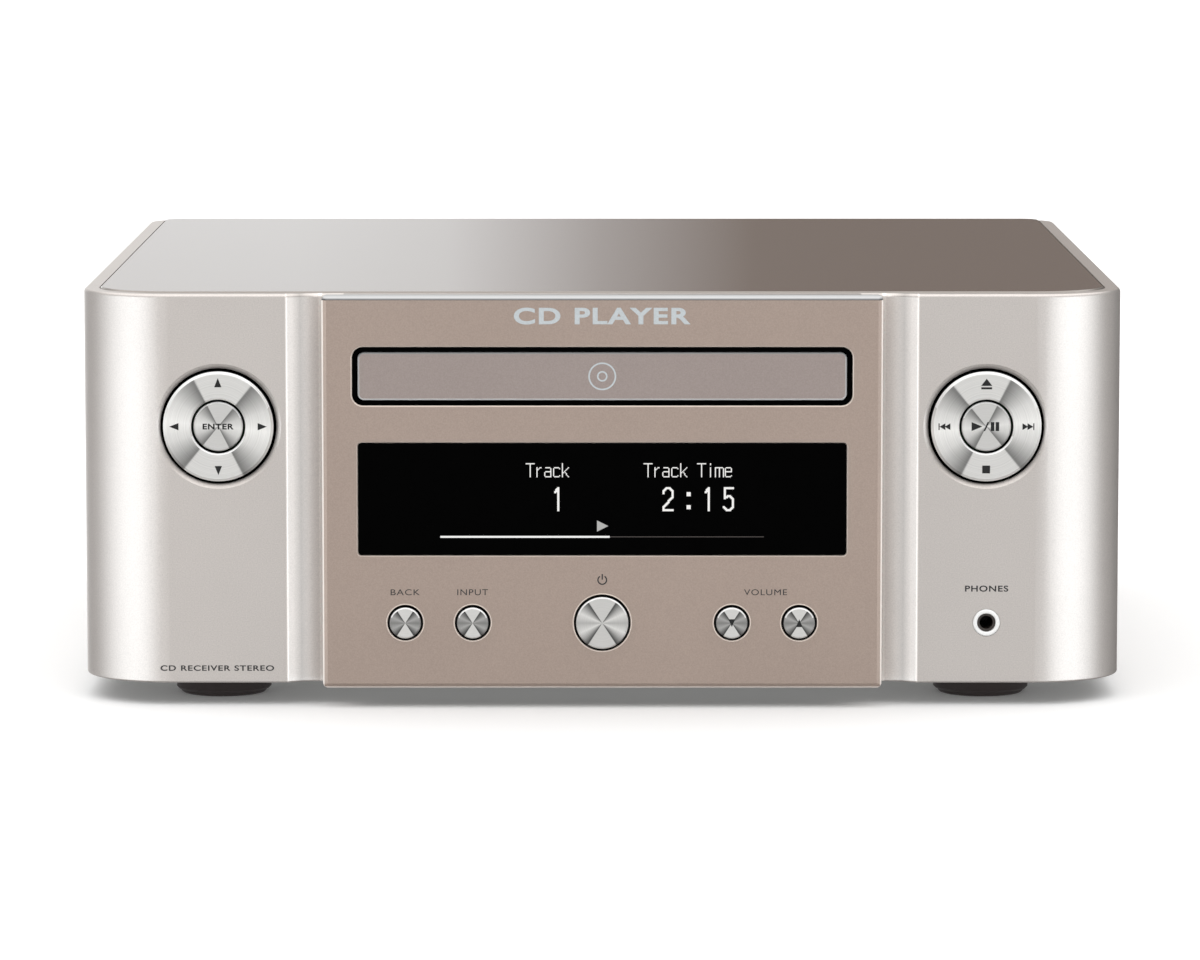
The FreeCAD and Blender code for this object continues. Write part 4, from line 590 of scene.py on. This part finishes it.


# ---------------------------------------------------------------- flat marks: legends, symbols and painted highlights
class Marks:
    """Flat shapes on a face that looks forwards, such as print, lit dots and painted highlights, gathered
    into one thin piece.

    Shapes are drawn in (x, z).
    """
    ARC_STEP = 6                                 # degrees
    LETTER_SPACING = 1.12

    def __init__(self, name, y, thickness=0.02 * MM):
        self.name, self.y, self.thickness = name, y, thickness
        self.mesh = bmesh.new()

    def polygon(self, points):
        """Filled shape with its corners in order."""
        ring = [self.mesh.verts.new((x, 0, z)) for x, z in points]
        self.mesh.faces.new(ring)

    def rect(self, x, z, width, height):
        """Filled rectangle, centred on x, z."""
        w, h = width / 2, height / 2
        self.polygon([(x - w, z - h), (x + w, z - h), (x + w, z + h), (x - w, z + h)])

    def triangle(self, x, z, width, height, towards):
        """Filled arrowhead that points towards 'left', 'right', 'up' or 'down'."""
        w, h = width / 2, height / 2
        shapes = {"right": [(-w, -h), (w, 0), (-w, h)], "left": [(w, -h), (w, h), (-w, 0)],
                  "up": [(-w, -h), (w, -h), (0, h)], "down": [(-w, h), (0, -h), (w, h)]}
        self.polygon([(x + px, z + pz) for px, pz in shapes[towards]])

    def arc(self, x, z, radius, width, start, end):
        """Ring section from start to end, in degrees."""
        steps = int(abs(end - start) / self.ARC_STEP)
        inner, outer = radius - width / 2, radius + width / 2
        for i in range(steps):
            a = math.radians(start + (end - start) * i / steps)
            b = math.radians(start + (end - start) * (i + 1) / steps)
            self.polygon([(x + r * math.cos(t), z + r * math.sin(t))
                          for r, t in ((inner, a), (outer, a), (outer, b), (inner, b))])

    def text(self, words, x, z, height, width, weight=0.0):
        """Capitals of a given height, set in a given width, centred on x, z."""
        curve = bpy.data.curves.new("lettering", "FONT")
        curve.body = words
        curve.offset = weight
        curve.space_character = self.LETTER_SPACING
        letter = bpy.data.objects.new("lettering", curve)
        bpy.context.scene.collection.objects.link(letter)
        depsgraph = bpy.context.evaluated_depsgraph_get()
        flat = bpy.data.meshes.new_from_object(letter.evaluated_get(depsgraph))
        xs = [v.co.x for v in flat.vertices]
        ys = [v.co.y for v in flat.vertices]
        scale_x, scale_z = width / (max(xs) - min(xs)), height / (max(ys) - min(ys))
        mid_x, mid_y = (max(xs) + min(xs)) / 2, (max(ys) + min(ys)) / 2
        ring = [self.mesh.verts.new((x + (v.co.x - mid_x) * scale_x, 0,
                                     z + (v.co.y - mid_y) * scale_z)) for v in flat.vertices]
        for face in flat.polygons:
            self.mesh.faces.new([ring[i] for i in face.vertices])
        bpy.data.objects.remove(letter)
        bpy.data.curves.remove(curve)
        bpy.data.meshes.remove(flat)

    def build(self, material, body):
        """Thickens the shapes, stands them on the face and rides them on a body."""
        bmesh.ops.recalc_face_normals(self.mesh, faces=self.mesh.faces[:])
        front = bmesh.ops.extrude_face_region(self.mesh, geom=self.mesh.faces[:])
        raised = [g for g in front["geom"] if isinstance(g, bmesh.types.BMVert)]
        bmesh.ops.translate(self.mesh, verts=raised, vec=(0, -self.thickness, 0))
        bmesh.ops.translate(self.mesh, verts=self.mesh.verts[:], vec=(0, self.y, 0))
        bmesh.ops.recalc_face_normals(self.mesh, faces=self.mesh.faces[:])
        data = bpy.data.meshes.new(self.name)
        self.mesh.to_mesh(data)
        self.mesh.free()
        piece = bpy.data.objects.new(self.name, data)
        bpy.context.scene.collection.objects.link(piece)
        data.materials.append(material)
        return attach(piece, body)


RAISED = 0.03 * MM                             # how far the title and the disc symbol stand proud
BUTTONS = ("back_button", "input_button", "power_button", "volume_down_button", "volume_up_button")


def plate_legends(ink, light_ink):
    """Names and the power symbol over the keys of the centre plate, and the title above the slot."""
    marks = Marks("plate_legends", PLATE_Y)
    label_z, cap_height = middle("back_button").z + 8.2 * MM, 1.6 * MM
    volume_x = (middle("volume_down_button").x + middle("volume_up_button").x) / 2
    for words, x, width in (("BACK", middle("back_button").x, 7.8), ("INPUT", middle("input_button").x, 8.2),
                            ("VOLUME", volume_x, 11.5)):
        marks.text(words, x, label_z, cap_height, width * MM)
    power = middle("power_button")
    symbol_z, stroke = power.z + 11.5 * MM, 0.34 * MM
    marks.arc(power.x, symbol_z, 1.15 * MM, stroke, 122, 418)
    marks.rect(power.x, symbol_z + 0.85 * MM, stroke, 1.5 * MM)
    marks.build(ink, "cabinet")
    title = Marks("plate_title", PLATE_Y, RAISED)
    slot_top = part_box("tray_bezel")[1].z
    title.text("CD PLAYER", 0, slot_top + 5.8 * MM, 4.5 * MM, 47 * MM, 0.03)
    title.build(light_ink, "cabinet")


def button_rim_highlights():
    """Painted highlights: bright rims round the holes of the five keys. A key's box includes the flange
    behind its hole.
    """
    rim_highlights, flange, width = Marks("button_rim_highlights", PLATE_Y), 0.66 * MM, 0.26 * MM
    for node in BUTTONS:
        low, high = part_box(node)
        rim_highlights.arc(middle(node).x, middle(node).z, (high.x - low.x) / 2 - flange, width, 0, 360)
    # the rims are a painted highlight, in a flat ink material
    rim_highlights.build(ink_and_painted_highlight("painted_rim_highlight", CUT_HIGHLIGHT), "cabinet")


def door_symbol(ink):
    """Two rings on the tray front, for a disc and its hole."""
    disc, door, width = Marks("door_symbol", front_of("tray_door"), RAISED), middle("tray_door"), 0.42 * MM
    for radius in (3.5 * MM, 1.2 * MM):
        disc.arc(door.x, door.z, radius, width, 0, 360)
    disc.build(ink, "tray")


def panel_legends(ink):
    """Legend over the headphone socket, and a description at the lower left."""
    marks, weight = Marks("panel_legends", FLAT_Y), 0.022
    socket = middle("headphone_socket")
    marks.text("PHONES", socket.x, socket.z + 9.2 * MM, 1.65 * MM, 11.6 * MM, weight)
    pad, case_bottom = middle("menu_ring"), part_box("front_panel")[0].z
    marks.text("CD RECEIVER STEREO", pad.x - 0.7 * MM, case_bottom + 4.0 * MM, 1.5 * MM, 30.5 * MM, weight)
    marks.build(ink, "cabinet")


def ring_marks(ink):
    """Arrows on the left ring, transport symbols on the right one."""
    out, long, short = 11.8 * MM, 2.45 * MM, 1.95 * MM
    menu = middle("menu_ring")
    marks = Marks("menu_ring_marks", front_of("menu_ring"))
    for dx, dz, towards in ((0, 1, "up"), (0, -1, "down"), (-1, 0, "left"), (1, 0, "right")):
        width, height = (short, long) if dz else (long, short)
        marks.triangle(menu.x + dx * out, menu.z + dz * out, width, height, towards)
    marks.build(ink, "menu_ring")
    ring = middle("transport_ring")
    marks = Marks("transport_ring_marks", front_of("transport_ring"))
    marks.triangle(ring.x, ring.z + 11.9 * MM, 3.0 * MM, 1.9 * MM, "up")
    marks.rect(ring.x, ring.z + 10.3 * MM, 2.9 * MM, 0.55 * MM)
    marks.rect(ring.x, ring.z - 11.5 * MM, 2.1 * MM, 2.1 * MM)
    for side, towards in ((-1, "left"), (1, "right")):
        for step in (-0.6, 0.75):
            marks.triangle(ring.x + side * (11.0 + step) * MM, ring.z, 1.55 * MM, 1.8 * MM, towards)
        marks.rect(ring.x + side * 12.65 * MM, ring.z, 0.28 * MM, 1.8 * MM)
    marks.build(ink, "transport_ring")


def key_marks(ink):
    """The word on the left centre key, play and pause on the right one, arrows on the volume keys."""
    enter = middle("enter_key")
    marks = Marks("enter_key_marks", front_of("enter_key"))
    marks.text("ENTER", enter.x, enter.z, 1.55 * MM, 8.3 * MM, 0.035)
    marks.build(ink, "enter_key")
    play = middle("play_key")
    marks = Marks("play_key_marks", front_of("play_key"))
    tall = 2.4 * MM
    marks.triangle(play.x - 2.5 * MM, play.z, 2.9 * MM, tall, "right")
    lean, stroke = 0.75 * MM, 0.45 * MM
    marks.polygon([(play.x - lean, play.z - tall / 2), (play.x - lean + stroke, play.z - tall / 2),
                   (play.x + lean, play.z + tall / 2), (play.x + lean - stroke, play.z + tall / 2)])
    for x in (1.65, 2.95):
        marks.rect(play.x + x * MM, play.z, 0.95 * MM, tall)
    marks.build(ink, "play_key")
    for node, towards in (("volume_down_button", "down"), ("volume_up_button", "up")):
        key = middle(node)
        marks = Marks(node + "_mark", front_of(node))
        marks.triangle(key.x, key.z, 1.8 * MM, 2.1 * MM, towards)
        marks.build(ink, node)


# ---------------------------------------------------------------- display content
DOT = 0.268 * MM
PEN_SMALL, PEN_LARGE = (1, 1.05), (2, 1.1)     # dots across a stroke, and the size of a dot in pitches
# Pen strokes of each character, on a grid of dots with the baseline at 0.
SMALL = {
    "T": [[(0, 13), (8, 13)], [(4, 13), (4, 0)]],
    "r": [[(2, 9), (2, 0)], [(2, 6), (5, 9), (6, 9)]],
    "a": [[(2, 9), (6, 9), (7, 8), (7, 0)], [(7, 5), (2, 5), (1, 4), (1, 1), (2, 0), (7, 0)]],
    "c": [[(7, 8), (6, 9), (2, 9), (1, 8), (1, 1), (2, 0), (6, 0), (7, 1)]],
    "k": [[(1, 13), (1, 0)], [(7, 9), (2, 4)], [(3, 5), (7, 0)]],
    "i": [[(4, 9), (4, 0)], [(4, 13), (4, 12)]],
    "m": [[(0, 9), (0, 0)], [(0, 9), (7, 9), (8, 8), (8, 0)], [(4, 9), (4, 0)]],
    "e": [[(1, 5), (7, 5), (7, 8), (6, 9), (2, 9), (1, 8), (1, 1), (2, 0), (6, 0), (7, 1)]],
    " ": [],
}
LARGE = {
    "1": [[(3, 18), (6, 22), (6, 0)]],
    "2": [[(1, 17), (1, 19), (4, 22), (7, 22), (10, 19), (10, 13), (1, 3), (1, 0), (10, 0)]],
    "5": [[(10, 22), (2, 22), (2, 12), (5, 14), (7, 14), (10, 11), (10, 3), (7, 0), (4, 0), (1, 3)]],
    ":": [[(5, 15), (5, 17), (7, 17), (7, 15)], [(5, 2), (5, 4), (7, 4), (7, 2)]],
}


def stroke_dots(strokes, pen):
    """Dots covered by a square pen that follows the strokes."""
    dots = set()
    for stroke in strokes:
        for (xa, za), (xb, zb) in zip(stroke, stroke[1:]):
            steps = max(abs(xb - xa), abs(zb - za), 1)
            for i in range(steps + 1):
                x = round(xa + (xb - xa) * i / steps)
                z = round(za + (zb - za) * i / steps)
                dots |= {(x + px, z + pz) for px in range(pen) for pz in range(pen)}
    return dots


def display_text(marks, words, font, pen, cell, left, baseline):
    """Words as lit dots. A cell is the pitch of the characters, in dots."""
    across, lit = pen
    for place, letter in enumerate(words):
        for x, z in sorted(stroke_dots(font[letter], across)):
            marks.rect(left + (place * cell + x + 0.5) * DOT, baseline + (z + 0.5) * DOT,
                       DOT * lit, DOT * lit)


def display_content():
    """Track number and time, a play mark and a progress bar."""
    window = middle("display_window")
    bright = Marks("display_dots", front_of("display_window"))
    line, digits = window.z + 5.9 * MM, window.z - 3.2 * MM
    display_text(bright, "Track", SMALL, PEN_SMALL, 8.75, -20.4 * MM, line)
    display_text(bright, "Track Time", SMALL, PEN_SMALL, 8.87, 11.0 * MM, line)
    display_text(bright, "1", LARGE, PEN_LARGE, 14, -13.6 * MM, digits)
    display_text(bright, "2:15", LARGE, PEN_LARGE, 20, 15.8 * MM, digits)
    bright.build(lit_dots("display_glow", (0.84, 0.83, 0.81)), "cabinet")
    play = Marks("display_play", front_of("display_window"))
    play.triangle(0.1 * MM, window.z - 7.2 * MM, 3.0 * MM, 3.0 * MM, "right")
    play.build(lit_dots("play_glow", (0.40, 0.40, 0.39)), "cabinet")
    bar_z, left, split, right = window.z - 10.1 * MM, -43.2 * MM, 2.0 * MM, 43.1 * MM
    bar = Marks("display_bar", front_of("display_window"))
    bar.rect((left + split) / 2, bar_z, split - left, 0.52 * MM)
    bar.build(lit_dots("bar_glow", (0.86, 0.86, 0.85)), "cabinet")
    rest = Marks("display_bar_rest", front_of("display_window"))
    rest.rect((split + right) / 2, bar_z, right - split, 0.22 * MM)
    rest.build(lit_dots("bar_dim", (0.03, 0.021, 0.017)), "cabinet")


# ---------------------------------------------------------------- studio
def floor():
    """Pale floor with a faint glow. It stays out of the case's reflections, which show the studio's
    light instead."""
    reach, pale, glow = 12.0, (0.97, 0.97, 0.97), 0.07
    s = Shader("studio_floor", pale, roughness=0.6)
    s.set("Base Color", s.tint(s.noise(0.8, 2.0), pale, 0.01))
    s.set("Emission Color", (1, 1, 1, 1))
    s.set("Emission Strength", glow)
    data = bpy.data.meshes.new("studio_floor")
    data.from_pydata([(-reach, -reach, 0), (reach, -reach, 0), (reach, reach, 0), (-reach, reach, 0)], [],
                     [(0, 1, 2, 3)])
    data.materials.append(s.material)
    ground = bpy.data.objects.new("studio_floor", data)
    bpy.context.scene.collection.objects.link(ground)
    ground.visible_glossy = False


# Light round the horizon: bearing in degrees from straight behind the case, with 90 on its right,
# then brightness and tint. It eases from one stop to the next.
PLAIN, COOL, WARM = (1.0, 1.0, 1.0), (0.935, 1.0, 1.045), (1.18, 1.0, 0.88)
RING = [
    (-180, 0.72, PLAIN), (-172, 0.82, PLAIN),    # ahead of the face, between the soft boxes
    (-138, 2.50, COOL), (-130, 2.50, COOL),      # soft box ahead on the left
    (-55, 0.42, PLAIN), (-35, 0.42, PLAIN),      # dim stretch
    (-12, 1.40, PLAIN),                          # narrow soft box behind
    (-4.5, 0.88, PLAIN), (-2.5, 0.88, PLAIN),    # light end of the card behind
    (1.5, 0.17, WARM), (30, 0.12, PLAIN),        # dark end of the card
    (68, 0.35, PLAIN),                           # dim stretch
    (125, 2.55, COOL), (142, 2.55, COOL),        # soft box ahead on the right
    (174, 0.58, PLAIN), (180, 0.72, PLAIN)]
CEILING, UNDERSIDE, BACKDROP = (1.62, 1.62, 1.62), (0.25, 0.25, 0.25), (1.0, 1.0, 1.0)
DIM = (0.75, 0.75, 0.74)                       # the most that comes from above and below the soft boxes
# Where each change starts and ends, as the upward part of a direction of length 1.
BOX_BOTTOM, BOX_TOP = (-0.36, -0.22), (0.02, 0.14)
CEILING_EDGE, UNDERSIDE_EDGE = (0.42, 0.72), (-0.35, -0.65)


def world():
    """Studio light at infinity: a bright ceiling, and low soft boxes and cards round the horizon."""
    made = bpy.data.worlds.new("studio")
    bpy.context.scene.world = made
    made.use_nodes = True
    n = Nodes(made.node_tree)
    x, y, z = n.split(n.tree.nodes.new("ShaderNodeTexCoord").outputs["Generated"])
    turn = n.math("MULTIPLY_ADD", n.math("ARCTAN2", x, y), 1 / (2 * math.pi), 0.5)
    ring = n.ramp(turn, [((bearing + 180) / 360, [level * part for part in tint])
                         for bearing, level, tint in RING], "EASE")
    dimmed = n.vector_math("MINIMUM", ring, DIM)

    def step(edge):
        """0 before the edge and 1 beyond it, smooth between."""
        return n.spread(z, 0, 1, *edge, smooth=True)

    light = n.mix(step(BOX_BOTTOM), dimmed, ring)
    light = n.mix(step(BOX_TOP), light, dimmed)
    light = n.mix(step(CEILING_EDGE), light, CEILING)
    light = n.mix(step(UNDERSIDE_EDGE), light, UNDERSIDE)
    seen = n.tree.nodes.new("ShaderNodeLightPath").outputs["Is Camera Ray"]
    n.tree.links.new(n.mix(seen, light, BACKDROP), n.tree.nodes["Background"].inputs["Color"])


def studio():
    floor()
    world()
    view = bpy.context.scene.view_settings
    view.view_transform = "Standard"
    view.look = "None"


def camera():
    """The viewpoint: ahead of the face, well back and above the top, looking slightly down."""
    aside, back, height = -0.6 * MM, 1.661, 0.2476      # from the middle, the flats and the floor
    down = 6.417                                        # degrees
    lens = bpy.data.cameras.new("camera")
    lens.sensor_width = 36.0
    lens.lens = 187.5
    obj = bpy.data.objects.new("camera", lens)
    obj.location = (aside, FLAT_Y - back, height)
    obj.rotation_euler = (math.radians(90 - down), 0, 0)
    bpy.context.scene.collection.objects.link(obj)
    bpy.context.scene.camera = obj


# ---------------------------------------------------------------- all together
def main():
    finish_cad_nodes()
    ink = ink_and_painted_highlight("dark_ink", srgb(36, 35, 37))
    light_ink = ink_and_painted_highlight("silver_ink", srgb(182, 188, 191))
    plate_legends(ink, light_ink)
    button_rim_highlights()
    door_symbol(light_ink)
    panel_legends(ink)
    key_ink = ink_and_painted_highlight("key_ink", srgb(8, 8, 8))
    ring_marks(key_ink)
    key_marks(key_ink)
    display_content()
    studio()
    camera()


main()
